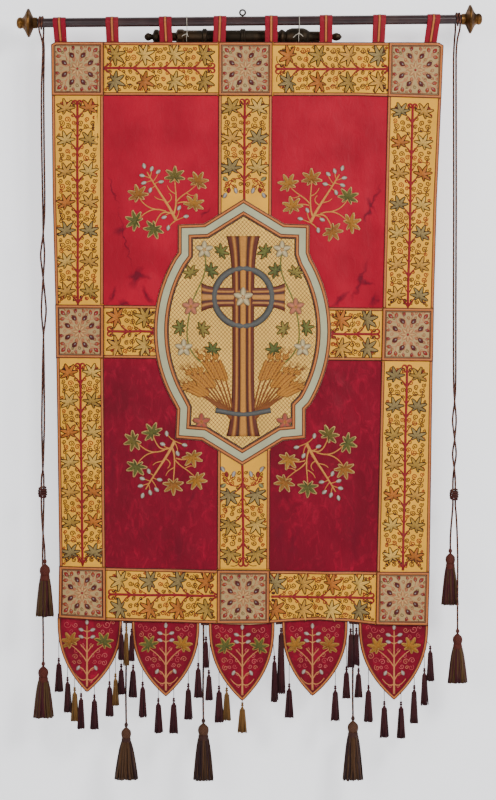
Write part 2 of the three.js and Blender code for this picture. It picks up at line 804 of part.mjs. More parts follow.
// Banner: ground, bands, squares and medallion
const whole = () => {
  const outline = cell(LEFT_EDGE, RIGHT_EDGE, TOP_EDGE, HEM);
  const [upperLeft, upperRight] = [crossing(LEFT_EDGE, TOP_EDGE), crossing(RIGHT_EDGE, TOP_EDGE)];
  const last = outline.findIndex((at) => at.distanceTo(upperRight) < 1e-6);
  return [
    new THREE.Vector2(upperLeft.x + CORNER_CUT, upperLeft.y),
    new THREE.Vector2(upperLeft.x, upperLeft.y - CORNER_CUT),
    ...outline.slice(1, last),
    new THREE.Vector2(upperRight.x, upperRight.y - CORNER_CUT),
    new THREE.Vector2(upperRight.x - CORNER_CUT * 1.5, upperRight.y),
    ...outline.slice(last + 1),
  ];
};

function sideArc(upper, lower, bulge) {
  const chord = upper.distanceTo(lower);
  const radius = (chord * chord) / (8 * Math.abs(bulge)) + Math.abs(bulge) / 2;
  const middle = upper.clone().add(lower).multiplyScalar(0.5);
  const outward = new THREE.Vector2(Math.sign(bulge), 0);
  const centre = middle.clone().addScaledVector(outward, Math.abs(bulge) - radius);
  const from = Math.atan2(upper.y - centre.y, upper.x - centre.x);
  const to = Math.atan2(lower.y - centre.y, lower.x - centre.x);
  const sweep = Math.atan2(Math.sin(to - from), Math.cos(to - from));
  return Array.from({ length: ARC_STEPS - 1 }, (_, i) => {
    const turn = from + (sweep * (i + 1)) / ARC_STEPS;
    return new THREE.Vector2(centre.x + radius * Math.cos(turn), centre.y + radius * Math.sin(turn));
  });
}

function medallion() {
  const side = (rows, key) => rows.map((row) => new THREE.Vector2(row[key], row.z));
  const half = (key, sign) => {
    const upper = side(MEDALLION_UPPER, key);
    const lower = side(MEDALLION_LOWER, key);
    return [...upper, ...sideArc(upper[2], lower[0], sign * MEDALLION_BULGE), ...lower];
  };
  return [
    new THREE.Vector2(MEDALLION_TOP.x, MEDALLION_TOP.z),
    ...half("left", -1),
    new THREE.Vector2(MEDALLION_FOOT.x, MEDALLION_FOOT.z),
    ...half("right", 1).reverse(),
  ];
}

function addBanner() {
  const ground = whole();
  const rim = medallion();
  add("ground_cloth", sheet(ground, 0, GROUND_CLOTH), RED_CLOTH);

  const inside = prism(inset(ground, 1));
  const round = prism(inset(rim, -0.6));
  const band = (name, ...seams) => {
    const strip = sheet(inset(cell(...seams), 0.2), BAND_FRONT, BAND_CLOTH).intersect(inside);
    add(name, strip.subtract(round), GOLD_BAND);
  };
  band("left_column", LEFT_EDGE, LEFT_COLUMN, TOP_EDGE, HEM);
  band("right_column", RIGHT_COLUMN, RIGHT_EDGE, TOP_EDGE, HEM);
  band("top_band", LEFT_COLUMN, RIGHT_COLUMN, TOP_EDGE, TOP_BAND);
  band("foot_band", LEFT_COLUMN, RIGHT_COLUMN, FOOT_BAND, HEM);
  band("middle_band_left", LEFT_COLUMN, CENTRE_LEFT, MIDDLE_UPPER, MIDDLE_LOWER);
  band("middle_band_right", CENTRE_RIGHT, RIGHT_COLUMN, MIDDLE_UPPER, MIDDLE_LOWER);
  band("centre_band_upper", CENTRE_LEFT, CENTRE_RIGHT, TOP_BAND, MIDDLE_UPPER);
  band("centre_band_lower", CENTRE_LEFT, CENTRE_RIGHT, MIDDLE_LOWER, FOOT_BAND);

  const square = (name, ...seams) =>
    add(
      name,
      sheet(inset(cell(...seams), 0.4), PATCH_FRONT, BAND_CLOTH).intersect(inside),
      SAGE_SQUARE,
    );
  square("square_top_left", LEFT_EDGE, LEFT_COLUMN, TOP_EDGE, TOP_BAND);
  square("square_top_centre", CENTRE_LEFT, CENTRE_RIGHT, TOP_EDGE, TOP_BAND);
  square("square_top_right", RIGHT_COLUMN, RIGHT_EDGE, TOP_EDGE, TOP_BAND);
  square("square_middle_left", LEFT_EDGE, LEFT_COLUMN, MIDDLE_UPPER, MIDDLE_LOWER);
  square("square_middle_right", RIGHT_COLUMN, RIGHT_EDGE, MIDDLE_UPPER, MIDDLE_LOWER);
  square("square_foot_left", LEFT_EDGE, LEFT_COLUMN, FOOT_BAND, HEM);
  square("square_foot_centre", CENTRE_LEFT, CENTRE_RIGHT, FOOT_BAND, HEM);
  square("square_foot_right", RIGHT_COLUMN, RIGHT_EDGE, FOOT_BAND, HEM);

  add("medallion_field", sheet(inset(rim, 0.6), BAND_FRONT, BAND_CLOTH), CREAM_GOLD);
  const border = sheet(rim, PATCH_FRONT, BAND_CLOTH).subtract(prism(inset(rim, FRAME_WIDTH)));
  add("medallion_border", border, GREY_GREEN);
}

// Scallops and their fringes
const scallopTop = (row) => Math.max(along(HEM, row.left), along(HEM, row.right));

function scallopOutline(row, high) {
  const top = scallopTop(row);
  const side = (corner) =>
    Array.from({ length: SCALLOP_STEPS }, (_, i) => {
      const share = (i + 1) / (SCALLOP_STEPS + 1);
      const down = share ** 0.8;
      return new THREE.Vector2(
        row.tip + (corner - row.tip) * (1 - down ** SCALLOP_CURVE),
        top + (row.foot - top) * down,
      );
    });
  return [
    new THREE.Vector2(row.left, high),
    ...side(row.left),
    new THREE.Vector2(row.tip, row.foot),
    ...side(row.right).reverse(),
    new THREE.Vector2(row.right, high),
  ];
}

// Height of a scallop's lower edge under an x.
function scallopEdge(row, x) {
  const top = scallopTop(row);
  const corner = x < row.tip ? row.left : row.right;
  const out = THREE.MathUtils.clamp((x - row.tip) / (corner - row.tip), 0, 0.985);
  return top + (row.foot - top) * (1 - out) ** (1 / SCALLOP_CURVE);
}

function addScallop(row, i) {
  const high = scallopTop(row);
  const cloth = sheet(scallopOutline(row, high + SCALLOP_TUCK), SCALLOP_FRONT, SCALLOP_CLOTH);
  add(`scallop_${i + 1}`, cloth, RED_CLOTH);

  const reach = RUN_REACH[i];
  const places = [row.left - reach, row.left, row.tip, row.right];
  const below = Math.min(...places.map((x) => along(HEM, x))) - 1;
  const outer = scallopOutline(row, below);
  const inner = inset(scallopOutline(row, high + 3 * FRINGE_BRAID), FRINGE_BRAID);
  const run = [
    new THREE.Vector2(row.left - reach, below - FRINGE_RUN),
    new THREE.Vector2(row.left + FRINGE_BRAID / 2, below - FRINGE_RUN),
    new THREE.Vector2(row.left + FRINGE_BRAID / 2, below),
    new THREE.Vector2(row.left - reach, below),
  ];
  const edging = prism(outer).subtract(prism(inner)).add(prism(run));
  const braid = behind(FRINGE_FRONT).subtract(behind(FRINGE_FRONT + BAND_CLOTH)).intersect(edging);
  const hangs = FRINGE[i].map((tassel) => {
    const between = tassel.x < row.left || tassel.x > row.right;
    const x = tassel.x < row.left ? tassel.x : THREE.MathUtils.clamp(tassel.x, row.left + 4, row.right - 4);
    const edge = between && tassel.x < row.left ? below - FRINGE_RUN : scallopEdge(row, x);
    const high = Math.min(Math.max(edge + 2.5, tassel.top + 4), below - 2);
    const root = new THREE.Vector3(x, faceted(x, high) + FRINGE_FRONT + THREAD_DEEP, high);
    return smallTassel(tassel, root);
  });
  add(`fringe_${i + 1}`, joined([braid, ...hangs]), MAROON_YARN);
}

// Side cords
function pairStations(rows) {
  const stations = [];
  rows.forEach((row, i) => {
    if (i === 0) return stations.push(row);
    const before = rows[i - 1];
    const parts = Math.max(1, Math.ceil(Math.abs(row.turn - before.turn) / PAIR_TURN_STEP));
    for (let k = 1; k <= parts; k += 1) {
      const mix = (key) => before[key] + ((row[key] - before[key]) * k) / parts;
      stations.push({ z: mix("z"), x: mix("x"), y: mix("y"), apart: mix("apart"), turn: mix("turn") });
    }
  });
  return stations;
}

// One half of a pair: +1 is the front one, -1 the other.
const halfOf = (rows, half) =>
  pairStations(rows).map(
    ({ x, y, z, apart, turn }) =>
      new THREE.Vector3(
        x + half * apart * Math.cos(radians(turn)),
        y + half * apart * Math.sin(radians(turn)),
        z,
      ),
  );

// Turns round the rod from one angle to another; 0 is the rod's front and 90 its top.
function wrap(start, side, from, to) {
  const clear = ROD_RADIUS + GAP + CORD_RADIUS;
  const radius = clear / Math.cos(Math.PI / WRAP_STEPS);
  const steps = Math.round((Math.abs(to - from) / 360) * WRAP_STEPS);
  return Array.from({ length: steps + 1 }, (_, i) => {
    const turn = from + ((to - from) * i) / steps;
    const x = start - (side * WRAP_PITCH * turn) / 360;
    return new THREE.Vector3(
      x,
      -radius * Math.cos(radians(turn)),
      rodHeight(x) + radius * Math.sin(radians(turn)),
    );
  });
}

function addSideCord(side, start, rows, frontEnd, backEnd) {
  const front = [
    ...wrap(start, side, WRAP_START - WRAP_SPLIT, 0),
    ...halfOf(rows, 1),
    ...frontEnd.map(point),
  ];
  const back = [
    ...wrap(start, side, WRAP_START + WRAP_SPLIT, 540),
    ...halfOf(rows, -1),
    ...backEnd.map(point),
  ];
  const name = side < 0 ? "left" : "right";
  add(`${name}_cord_front`, tube(front, CORD_RADIUS, CORD_SIDES), CORD_YARN);
  add(`${name}_cord_back`, tube(back, CORD_RADIUS, CORD_SIDES), CORD_YARN);
  addKnot(`${name}_knot`, rows.at(-1), (rows.at(-1).z + rows.at(-2).z) / 2);
}

// The knot: turns of the cord drawn tight round both halves, as one ridged ring.
function addKnot(name, row, height) {
  const room = { x: row.apart + CORD_RADIUS + 1.4, y: CORD_RADIUS + 1.4 };
  const ridges = [
    [1, -19],
    [1.6, -21],
    [2, -14],
    [1.7, -8],
    [2.1, 0],
    [1.7, 8],
    [2, 14],
    [1.6, 21],
    [1, 19],
    [1, -19],
  ];
  const ring = turned(ridges, 12);
  ring.rotateX(Math.PI / 2);
  ring.scale(room.x, room.y + 1, 1);
  ring.translate(row.x, row.y, height);
  add(name, solid(ring), CORD_YARN);
}

// Cords below the hem
function addHemCord({ name, x, end, head, skirt, fall }) {
  const high = along(HEM, x) + HEM_CORD_TUCK;
  const cloth = Math.max(faceted(x, high), faceted(x, high - 2 * HEM_CORD_TUCK));
  const y = cloth + GROUND_CLOTH + GAP + CORD_RADIUS;
  const steps = 5;
  const points = Array.from({ length: steps + 1 }, (_, i) =>
    point([x + Math.sin(i * 1.3) * 0.8, y, high + ((end - high) * i) / steps]),
  );
  add(`${name}_cord`, tube(points, CORD_RADIUS, CORD_SIDES), CORD_YARN);
  const at = [points.at(-1).x, y, end - 0.35];
  add(`${name}_tassel`, largeTassel({ at, head, skirt, fall }), MAROON_YARN);
}

addRod();
addFinial("finial_left", ROD_LEFT - GAP, -1);
addFinial("finial_right", ROD_RIGHT + GAP, 1);
addStaff();
addString("string_left", -190, 22.8, [[-207, 6, -80]]);
addString("string_right", 192, 30, [
  [172, 5, -84],
  [206, 6, -80],
]);
TABS.forEach((row, i) => addTab(`tab_${i + 1}`, row));
addBanner();
SCALLOPS.forEach(addScallop);
addSideCord(-1, -691, LEFT_PAIR, LEFT_FRONT_END, LEFT_BACK_END);
addSideCord(1, 738, RIGHT_PAIR, RIGHT_FRONT_END, RIGHT_BACK_END);
TASSELS.forEach((tassel) => add(tassel.name, largeTassel(tassel), MAROON_YARN));
HEM_CORDS.forEach(addHemCord);

export default banner;
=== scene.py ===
"""A church banner of red satin with embroidered gold bands, hung by tabs on a turned rod.

All lengths in the tables are millimetres in the frame of the part: +X right, +Y away from the
viewer, +Z up, with the middle of the iron eye as the origin.
"""
import math

import bpy
import numpy as np
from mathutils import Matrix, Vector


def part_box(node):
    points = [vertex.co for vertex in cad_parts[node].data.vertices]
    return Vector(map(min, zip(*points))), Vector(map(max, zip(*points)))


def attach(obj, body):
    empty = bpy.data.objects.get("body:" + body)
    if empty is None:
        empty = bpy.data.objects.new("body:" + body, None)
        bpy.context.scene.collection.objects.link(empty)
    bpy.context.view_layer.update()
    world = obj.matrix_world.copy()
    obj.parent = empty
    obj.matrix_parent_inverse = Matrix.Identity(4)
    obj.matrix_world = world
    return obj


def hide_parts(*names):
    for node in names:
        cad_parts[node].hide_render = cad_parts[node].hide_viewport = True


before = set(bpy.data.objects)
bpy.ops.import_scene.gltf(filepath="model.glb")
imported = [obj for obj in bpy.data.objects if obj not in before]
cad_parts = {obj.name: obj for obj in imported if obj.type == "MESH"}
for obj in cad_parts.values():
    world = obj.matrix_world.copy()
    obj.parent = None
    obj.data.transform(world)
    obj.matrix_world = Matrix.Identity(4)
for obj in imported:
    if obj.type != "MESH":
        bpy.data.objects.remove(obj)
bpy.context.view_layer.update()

bl_info = {
    "name": "Church banner",
    "version": (1, 0, 0),
    "blender": (4, 5, 0),
    "location": "3D View > Sidebar > Banner",
    "description": "Builds an embroidered church banner with its rod, cords and tassels",
    "category": "Add Mesh",
}

MM = 0.001
SEED = 31

# Soft folds of the cloth: the line of each fold at the top and at the foot, its half width, how
# far it goes back, and the heights where it begins and is at its full.
FOLDS = (
    (-655, -650, 95, 15, -300, -1500),
    (-385, -345, 80, -7, -650, -1500),
    (-260, -230, 66, 6, -1050, -1700),
    (-160, -165, 64, -6, -1250, -1850),
    (10, 5, 180, -7, -200, -1000),
    (225, 195, 66, 8, -1150, -1700),
    (330, 288, 60, -9, -1150, -1750),
    (425, 385, 62, 9, -250, -1500),
    (515, 478, 75, -7, -500, -1700),
    (695, 655, 95, 13, -250, -1400),
)
FOLD_TOP = -99
FOLD_FOOT = -2080

# Creases, listed one by one: x and z of both ends, half width, and depth (back above zero).
CREASES = (
    (-455, -520, -395, -760, 9, 1.6),
    (-440, -560, -372, -860, 14, -1.8),
    (-300, -880, -240, -960, 12, 2.2),
    (-290, -800, -225, -905, 14, -2.2),
    (-420, -930, -250, -840, 16, 1.6),
    (-330, -990, -330, -700, 22, -1.4),
    (-250, -330, -300, -620, 26, 1.2),
    (-160, -320, -150, -560, 24, -1.2),
    (180, -320, 200, -600, 24, 1.2),
    (300, -330, 320, -700, 26, -1.4),
    (372, -380, 360, -960, 13, 2.4),
    (415, -420, 402, -980, 13, -2.2),
    (450, -500, 430, -980, 11, 1.8),
    (250, -820, 330, -960, 15, -1.8),
    (236, -900, 300, -985, 12, 1.8),
    (-430, -1230, -415, -1860, 16, 2.2),
    (-385, -1200, -372, -1860, 18, -2.4),
    (-330, -1240, -318, -1870, 20, 2.4),
    (-275, -1300, -262, -1880, 17, -2.2),
    (-210, -1480, -205, -1880, 19, 2.4),
    (-140, -1560, -140, -1880, 18, -2.2),
    (140, -1560, 132, -1890, 18, 2.2),
    (205, -1480, 190, -1890, 17, -2.4),
    (262, -1300, 240, -1890, 18, 2.4),
    (318, -1240, 296, -1890, 18, -2.4),
    (372, -1210, 352, -1890, 17, 2.4),
    (420, -1220, 402, -1890, 16, -2.2),
    (-588, -118, -590, -330, 6, 2.4),
    (-577, -118, -579, -330, 7, -1.4),
    (-494, -112, -500, -470, 5, 2.4),
    (-486, -112, -490, -470, 7, -1.2),
    (-500, -520, -560, -640, 9, 1.4),
    (150, -1100, 175, -1340, 13, 2.6),
    (120, -1080, 140, -1400, 14, -2.0),
    (195, -1000, 215, -1330, 14, -2.2),
    (-80, -1000, -70, -1380, 30, 1.4),
    (60, -760, 70, -1100, 30, -1.4),
    (-180, -860, -150, -1260, 18, 1.6),
)

# Painted shade along the creases and folds of the red satin: x and z of both ends, and half width.
CREASE_SHADES = (
    (-454, -548, -425, -656, 5),
    (-425, -656, -373, -896, 4),
    (-431, -753, -399, -727, 14),
    (-386, -896, -321, -900, 13),
    (-343, -866, -376, -932, 13),
    (-340, -935, -308, -987, 13),
    (-457, -987, -431, -935, 11),
    (-416, -981, -386, -996, 13),
    (-142, -695, -106, -669, 7),
    (473, -571, 417, -714, 6),
    (421, -636, 447, -669, 11),
    (417, -700, 432, -686, 12),
    (427, -831, 369, -994, 9),
    (401, -909, 440, -922, 12),
    (440, -1000, 460, -950, 12),
    (304, -1002, 356, -955, 12),
    (-334, -1520, -282, -1440, 20),
    (-158, -1620, -184, -1680, 12),
    (122, -1700, 128, -1850, 24),
    (395, -1722, 375, -1871, 20),
    (187, -1741, 154, -1871, 18),
    (-217, -1774, -223, -1871, 18),
    (-440, -1400, -446, -1700, 14),
)

# Seams: (along, across) points. Upright ones give x at a height, level ones z at an x.
LEFT_EDGE = ((-99, -651.4), (-637, -646), (-977, -637.8), (-1317, -632.4), (-1880, -624.2), (-2058, -627))
LEFT_COLUMN = ((-99, -472.3), (-1174, -472.3), (-2066, -464.4))
CENTRE_LEFT = ((-99, -82), (-1900, -87), (-2078, -87.7))
CENTRE_RIGHT = ((-99, 102.3), (-1900, 92.3), (-2078, 91.5))
RIGHT_COLUMN = ((-99, 497), (-1090, 474), (-1900, 455), (-2082, 452))
RIGHT_EDGE = (
    (-99, 684), (-297, 676), (-637, 661), (-977, 651.8), (-1317, 645.7), (-1905, 637.2), (-2083, 632),
)
TOP_EDGE = ((-651, -99), (684, -101))
TOP_BAND = ((-651, -282.5), (389, -283.5), (684, -293))
MIDDLE_UPPER = ((-640, -992), (652, -1005))
MIDDLE_LOWER = ((-636, -1174), (648, -1186))
FOOT_BAND = ((-624, -1882), (-87, -1894), (637, -1902))
HEM = (
    (-627, -2058.5), (-464, -2067.5), (-94, -2077), (25, -2080.5), (144, -2072), (263, -2065),
    (365, -2072), (450, -2081), (637, -2085.5),
)
CORNER_CUT = 13

# Ends of the middle bands that the medallion covers.
UPPER_HIDDEN, LOWER_HIDDEN = ((-651, -700), (684, -700)), ((-651, -1480), (684, -1480))
LEFT_HIDDEN, RIGHT_HIDDEN = ((-99, -265), (-2078, -265)), ((-99, 266), (-2078, 266))

# Depths of the layers behind the fold surface, and their thickness.
GROUND_LEVEL, GROUND_CLOTH = 0.0, 2.4
BAND_LEVEL, BAND_CLOTH = -2.15, 1.8
PATCH_LEVEL = -4.3
SCALLOP_LEVEL, SCALLOP_CLOTH = 2.75, 2.0
FRINGE_LEVEL = 0.6
FRAME_WIDTH = 48

SQUARE_HALF = 88

MEDALLION_TOP = (3, -634)
MEDALLION_FOOT = (-1, -1539.5)
MEDALLION_UPPER = ((-131, 142, -718), (-219.6, 227.8, -721), (-219.6, 226.8, -815))
MEDALLION_LOWER = ((-224, 214.5, -1349.5), (-228.5, 214.5, -1448), (-139, 137.4, -1455))
MEDALLION_BULGE = 80

# Where the plain satin lies: its sides, the bands that cross it, and the medallion's middle and reach.
PANELS_LEFT, PANELS_RIGHT, PANELS_TOP, PANELS_FOOT = -462, 470, -292, -1878
CROSS_LEFT, CROSS_RIGHT, CROSS_TOP, CROSS_FOOT = -108, 124, -970, -1205
MEDALLION_MIDDLE, MEDALLION_WIDE, MEDALLION_HIGH = -1087, 292, 520

ROD_RADIUS, ROD_LEFT, ROD_RIGHT, ROD_DROP, ROD_RISE = 16, -697, 743, 28.9, 0.0085
EYE_RADIUS, EYE_WIRE, EYE_SHANK = 9.3, 3.2, 20
STAFF_DROP, STAFF_BACK = 76, 46

# Tabs: middle of each at the rod and at the banner.
TABS = (
    (-623, -618.5), (-444, -442), (-263, -260), (-76.5, -79.5),
    (97.5, 97.5), (283.5, 283.5), (465.5, 462), (650, 639),
)
TAB_WIDTH, TAB_CLOTH, TAB_TAIL = 43, 1.8, 26

# Scallops: both upper corners and the point.
SCALLOPS = (
    (-630, -410, -529.5, -2311.5),
    (-376, -147, -261, -2325),
    (-114.5, 108, -1, -2340),
    (134.5, 357, 237.5, -2323.5),
    (395.5, 632, 515, -2336),
)
SCALLOP_CURVE, SCALLOP_TUCK, SCALLOP_HIDDEN, CURL_MARGIN = 2.5, 14, 0.06, 17

# Small tassels: x, top, foot, radius, how far in front of the braid, and 1 for a gold one.
FRINGES = (
    (
        (-626, -2194, -2313, 11, 2, 0), (-596, -2259, -2383, 11, 2, 0), (-571.5, -2293, -2412, 10, 2, 1),
        (-549.5, -2313, -2438, 10, 2, 0), (-504, -2317, -2439, 11, 2, 0), (-452.5, -2272, -2395, 10, 2, 0),
        (-432, -2245, -2358, 9, 5, 1), (-412.5, -2212, -2320, 9, 2, 0), (-411.5, -2090, -2202, 8.5, 13, 0),
    ),
    (
        (-394.5, -2086, -2220, 7.5, 14, 1), (-376.5, -2092, -2205, 8.5, 13, 0),
        (-371.5, -2214, -2329, 11, 13, 0),
        (-339.5, -2273, -2397, 11, 2, 0), (-286.5, -2329, -2451, 11, 2, 0), (-234, -2329, -2453, 11, 2, 0),
        (-184.5, -2279, -2405, 11, 2, 0), (-150.5, -2208, -2329, 10, 12, 0),
    ),
    (
        (-124, -2118, -2228, 9, 16, 0), (-114.5, -2233, -2340, 10, 2, 0), (-80, -2286, -2415, 11, 2, 0),
        (-54, -2293, -2408, 10, 2, 1), (-1, -2343, -2449, 11, 2, 1), (108, -2184, -2344, 9, 13, 0),
    ),
    (
        (130.5, -2090, -2317, 10, 13, 0), (158.5, -2280, -2400, 11, 2, 0),
        (315, -2286, -2409, 11, 2, 0), (353.5, -2222, -2334, 10, 2, 0),
    ),
    (
        (367, -2092, -2228, 9, 16, 0), (386.5, -2090, -2222, 9, 16, 0), (394.5, -2228, -2331, 10, 4, 0),
        (428, -2285, -2414, 11, 2, 0), (481.5, -2339, -2466, 11, 2, 0), (538.5, -2341, -2470, 11, 2, 0),
        (584, -2286, -2419, 11, 2, 0), (618.5, -2228, -2358, 10, 5, 0), (638.5, -2152, -2276, 10, 6, 0),
    ),
)
RUN_REACH = (0, 30.5, 28, 22, 34)
FRINGE_BRAID = 11.5

# Side cords: height, middle of the pair, distance of each half from it, turn of the front one.
LEFT_PAIR = (
    (-62, -684, 18.5, -110), (-92, -680, 9, -105), (-130, -677, 4.3, -115), (-263, -680, 4.2, -150),
    (-450, -679, 4.2, -190), (-660, -676, 4.2, -215), (-753, -678, 4.4, -270), (-826, -680, 6.5, -360),
    (-906, -678, 4.6, -450), (-1011, -676, 8, -540), (-1113, -677, 4.6, -630), (-1320, -678, 4.2, -690),
    (-1545, -679, 4.6, -800), (-1600, -680, 4.2, -900), (-1662, -680, 4.2, -900),
)
RIGHT_PAIR = (
    (-56, 731, 18.5, -70), (-88, 726, 9, -60), (-130, 722.5, 4.4, -20), (-212, 721.5, 4.3, 0),
    (-640, 722, 4.2, 5), (-1000, 721, 4.2, 12), (-1249, 721, 4.3, 30), (-1324, 721, 4.6, 90),
    (-1388, 720, 6, 180), (-1453, 721, 4.6, 270), (-1502, 720, 6, 360), (-1550, 719.5, 4.6, 450),
    (-1606, 719, 4.2, 540), (-1672, 719, 4.2, 540),
)
LEFT_FRONT_END = (
    (-683, -4, -1700), (-679, -12, -1755), (-673, -20, -1805), (-670.7, -22, -1835), (-670.5, -22, -1856),
)
LEFT_BACK_END = (
    (-677, 5, -1700), (-679, 11, -1760), (-681, 15, -1830), (-681, 16, -1930), (-680, 15, -2040),
    (-678.6, 11, -2130), (-678.5, 10, -2170), (-678.5, 10, -2206),
)
RIGHT_FRONT_END = (
    (713, 5, -1706), (710, 11, -1745), (708, 15.5, -1780), (707.5, 16, -1800), (707.5, 16, -1822),
)
RIGHT_BACK_END = (
    (725.5, -6, -1706), (728, -11, -1760), (730, -14, -1840), (730, -15, -1940), (729.7, -12, -2030),
    (730, -11, -2065), (730, -11, -2093),
)
CORD_RADIUS, WRAP_GAP, WRAP_STEPS, WRAP_PITCH, WRAP_START, WRAP_SPLIT = 3.5, 0.35, 12, 8.8, 200, 3.3
PAIR_TURN_STEP = 60
CORD_SIDES, CORD_PITCH, CORD_STRANDS = 9, 21.0, 3
GOLDEN_TURN = 2.399963
KNOT_TURNS, KNOT_HIGH, KNOT_STEPS = 4.2, 33, 150
CORD_IN_HEAD = 95  # of a cord that is hidden in its tassel's head
CORD_TAIL = np.array([[0, 0, 20], [0, 0, CORD_IN_HEAD]])

# Large tassels: name, place of the bead's top, radius of head and skirt, fall of the skirt.
TASSELS = (
    ("left_upper_tassel", (-670.5, -22, -1856.3), 18.4, 30, 124),
    ("left_lower_tassel", (-678.5, 10, -2206.3), 18, 34, 122),
    ("right_upper_tassel", (707.5, 16, -1822.3), 17, 30, 124),
    ("right_lower_tassel", (730, -11, -2093.3), 17, 33, 116),
)
# Hem cords: name, x, end, and their tassels' head, skirt and fall.
HEM_CORDS = (
    ("left_hem", -396, -2413, 17.5, 40, 124),
    ("centre_hem", -133.5, -2399, 19, 33, 138),
    ("right_hem", 375.5, -2392, 19, 34, 146),
)

# Vines on the bands: start and end of the stem, where each pair of leaves sits along it from its
# start, and how wide the band is to each side.
VINES = (
    ("top_band_left", (-470, -189), (-92, -189), (41, 141, 244, 345), 44),
    ("top_band_right", (495, -192), (110, -192), (38, 140, 242, 344), 44),
    ("left_column_upper", (-560, -988), (-562, -296), (45, 147, 252, 347, 453, 561, 670), 41),
    ("left_column_lower", (-544, -1878), (-553, -1190), (48, 150, 252, 354, 456, 561, 660), 41),
    ("right_column_upper", (562, -1000), (578, -308), (44, 147, 254, 352, 457, 563, 669), 41),
    ("right_column_lower", (545, -1896), (559, -1196), (52, 157, 259, 363, 464, 563, 667), 41),
    ("centre_upper", (6, -640), (7, -292), (116, 216, 321), 44),
    ("centre_lower", (-1, -1534), (3, -1884), (112, 212, 312), 44),
    ("middle_left", (-285, -1084), (-462, -1084), (54, 149), 46),
    ("middle_right", (287, -1093), (468, -1093), (53, 143), 46),
    ("foot_band_left", (-92, -1982), (-458, -1978), (36, 131, 229, 331), 45),
    ("foot_band_right", (97, -1985), (449, -1990), (20, 115, 210, 305), 44),
)

# One spray, upwards and to the left from its base: leaves, buds and twigs.
SPRAY_LEAVES = ((-5, 150, 88), (74, 133, 62), (-129, 88, 105), (60, 56, 75), (-138, 0, 160), (-75, -26, 235))
SPRAY_BUDS = (
    (-109, 187, 105), (-83, 177, 70), (-61, 167, 40), (-116, 154, 170), (-110, 129, 200), (-51, 133, 10),
    (-88, 104, 250), (10, 44, 60), (34, 15, 10), (-41, 12, 200), (-27, -24, 260),
)
SPRAY_TWIGS = (
    (0, 0, -24, 55, -55, 90, -99, 166, 12.0, 4.6),
    (-10, 20, 4, 52, 0, 80, -5, 142, 7.5, 3.8),
    (2, 66, 20, 92, 40, 92, 71, 126, 5.0, 3.4),
    (4, 60, 30, 68, 46, 66, 58, 50, 5.0, 3.4),
    (-12, 24, -44, 36, -58, 30, -74, -20, 6.5, 3.6),
    (-34, 32, -70, 46, -96, 40, -130, 4, 5.4, 3.4),
    (-62, 38, -88, 42, -108, 50, -126, 80, 5.0, 3.4),
    (-36, 68, -52, 74, -62, 70, -74, 84, 4.6, 2.6),
    (-30, 62, -10, 72, -14, 86, -24, 94, 4.6, 2.6),
    (-2, 92, -20, 100, -26, 108, -30, 120, 4.0, 2.4),
    (36, 94, 50, 84, 60, 84, 70, 90, 4.0, 2.4),
    (-80, 138, -96, 134, -104, 130, -110, 128, 3.6, 2.6),
    (-84, 144, -100, 150, -108, 152, -114, 153, 3.6, 2.6),
    (-74, 126, -62, 132, -56, 134, -52, 134, 3.6, 2.6),
    (-70, 120, -80, 114, -86, 108, -88, 104, 3.6, 2.6),
    (-88, 150, -84, 162, -84, 170, -83, 176, 3.6, 2.6),
    (-78, 134, -66, 150, -62, 158, -61, 166, 3.6, 2.6),
    (-2, 4, 10, 22, 10, 32, 10, 42, 4.2, 2.8),
    (0, 2, 16, 8, 24, 12, 33, 14, 4.2, 2.8),
    (-16, 26, -28, 26, -36, 20, -41, 12, 4.2, 2.8),
    (-2, 0, -14, -6, -20, -14, -26, -22, 4.2, 2.8),
)
SPRAYS = ((-226, -708, 1, 1), (230, -716, -1, 1), (-231, -1455, 1, -1), (217, -1463, -1, -1))


def linear(red, green, blue):
    """A colour from its eight-bit values, as linear light."""
    shares = [value / 255 for value in (red, green, blue)]
    return tuple(s / 12.92 if s <= 0.04045 else ((s + 0.055) / 1.055) ** 2.4 for s in shares)


def paint(*values):
    return np.array(linear(*values))


DARK_EDGE = paint(62, 10, 8)
LEAF_EDGE = paint(60, 26, 8)
# Braid colours: a dark cord on both edges and tan between, with a paler tan along the crown that is painted
# highlight. The tab stripes share them.
BRAID_TAN = paint(190, 96, 40)
BRAID_CROWN_HIGHLIGHT = paint(214, 132, 66)
STRIPE_TINTS = np.array([DARK_EDGE, DARK_EDGE, BRAID_TAN, BRAID_CROWN_HIGHLIGHT, BRAID_TAN, DARK_EDGE, DARK_EDGE])
BRAID_TINTS = np.concatenate([[DARK_EDGE], STRIPE_TINTS, [DARK_EDGE]])
STEM_RED = paint(150, 8, 24)
SCROLL_BROWN = paint(76, 24, 4)
SCROLL_OLIVE = paint(98, 46, 8)
SCROLL_RED = paint(150, 30, 14)
SCROLL_TINTS = np.array([SCROLL_BROWN, SCROLL_OLIVE, SCROLL_RED, SCROLL_BROWN])
LEAF_FILLS = np.array(
    [paint(230, 164, 60), paint(214, 122, 34), paint(196, 148, 56), paint(168, 140, 82), paint(244, 190, 84)]
)
SPRAY_FILLS = np.array([paint(190, 124, 26), paint(100, 100, 32), paint(170, 104, 22), paint(116, 100, 32)])
TWIG_GOLD = paint(226, 152, 66)
SILVER = paint(216, 208, 194)


# Cloth surface

def smooth(share):
    """3s^2 - 2s^3 of a share held between 0 and 1."""
    held = np.clip(share, 0, 1)
    return held * held * (3 - 2 * held)


def pointing(degrees):
    """Unit steps in x and z at these angles."""
    angle = np.radians(degrees)
    return np.stack([np.cos(angle), np.sin(angle)], -1)


def sideways(ahead):
    """The steps turned a quarter to the left."""
    return np.stack([-ahead[..., 1], ahead[..., 0]], -1)


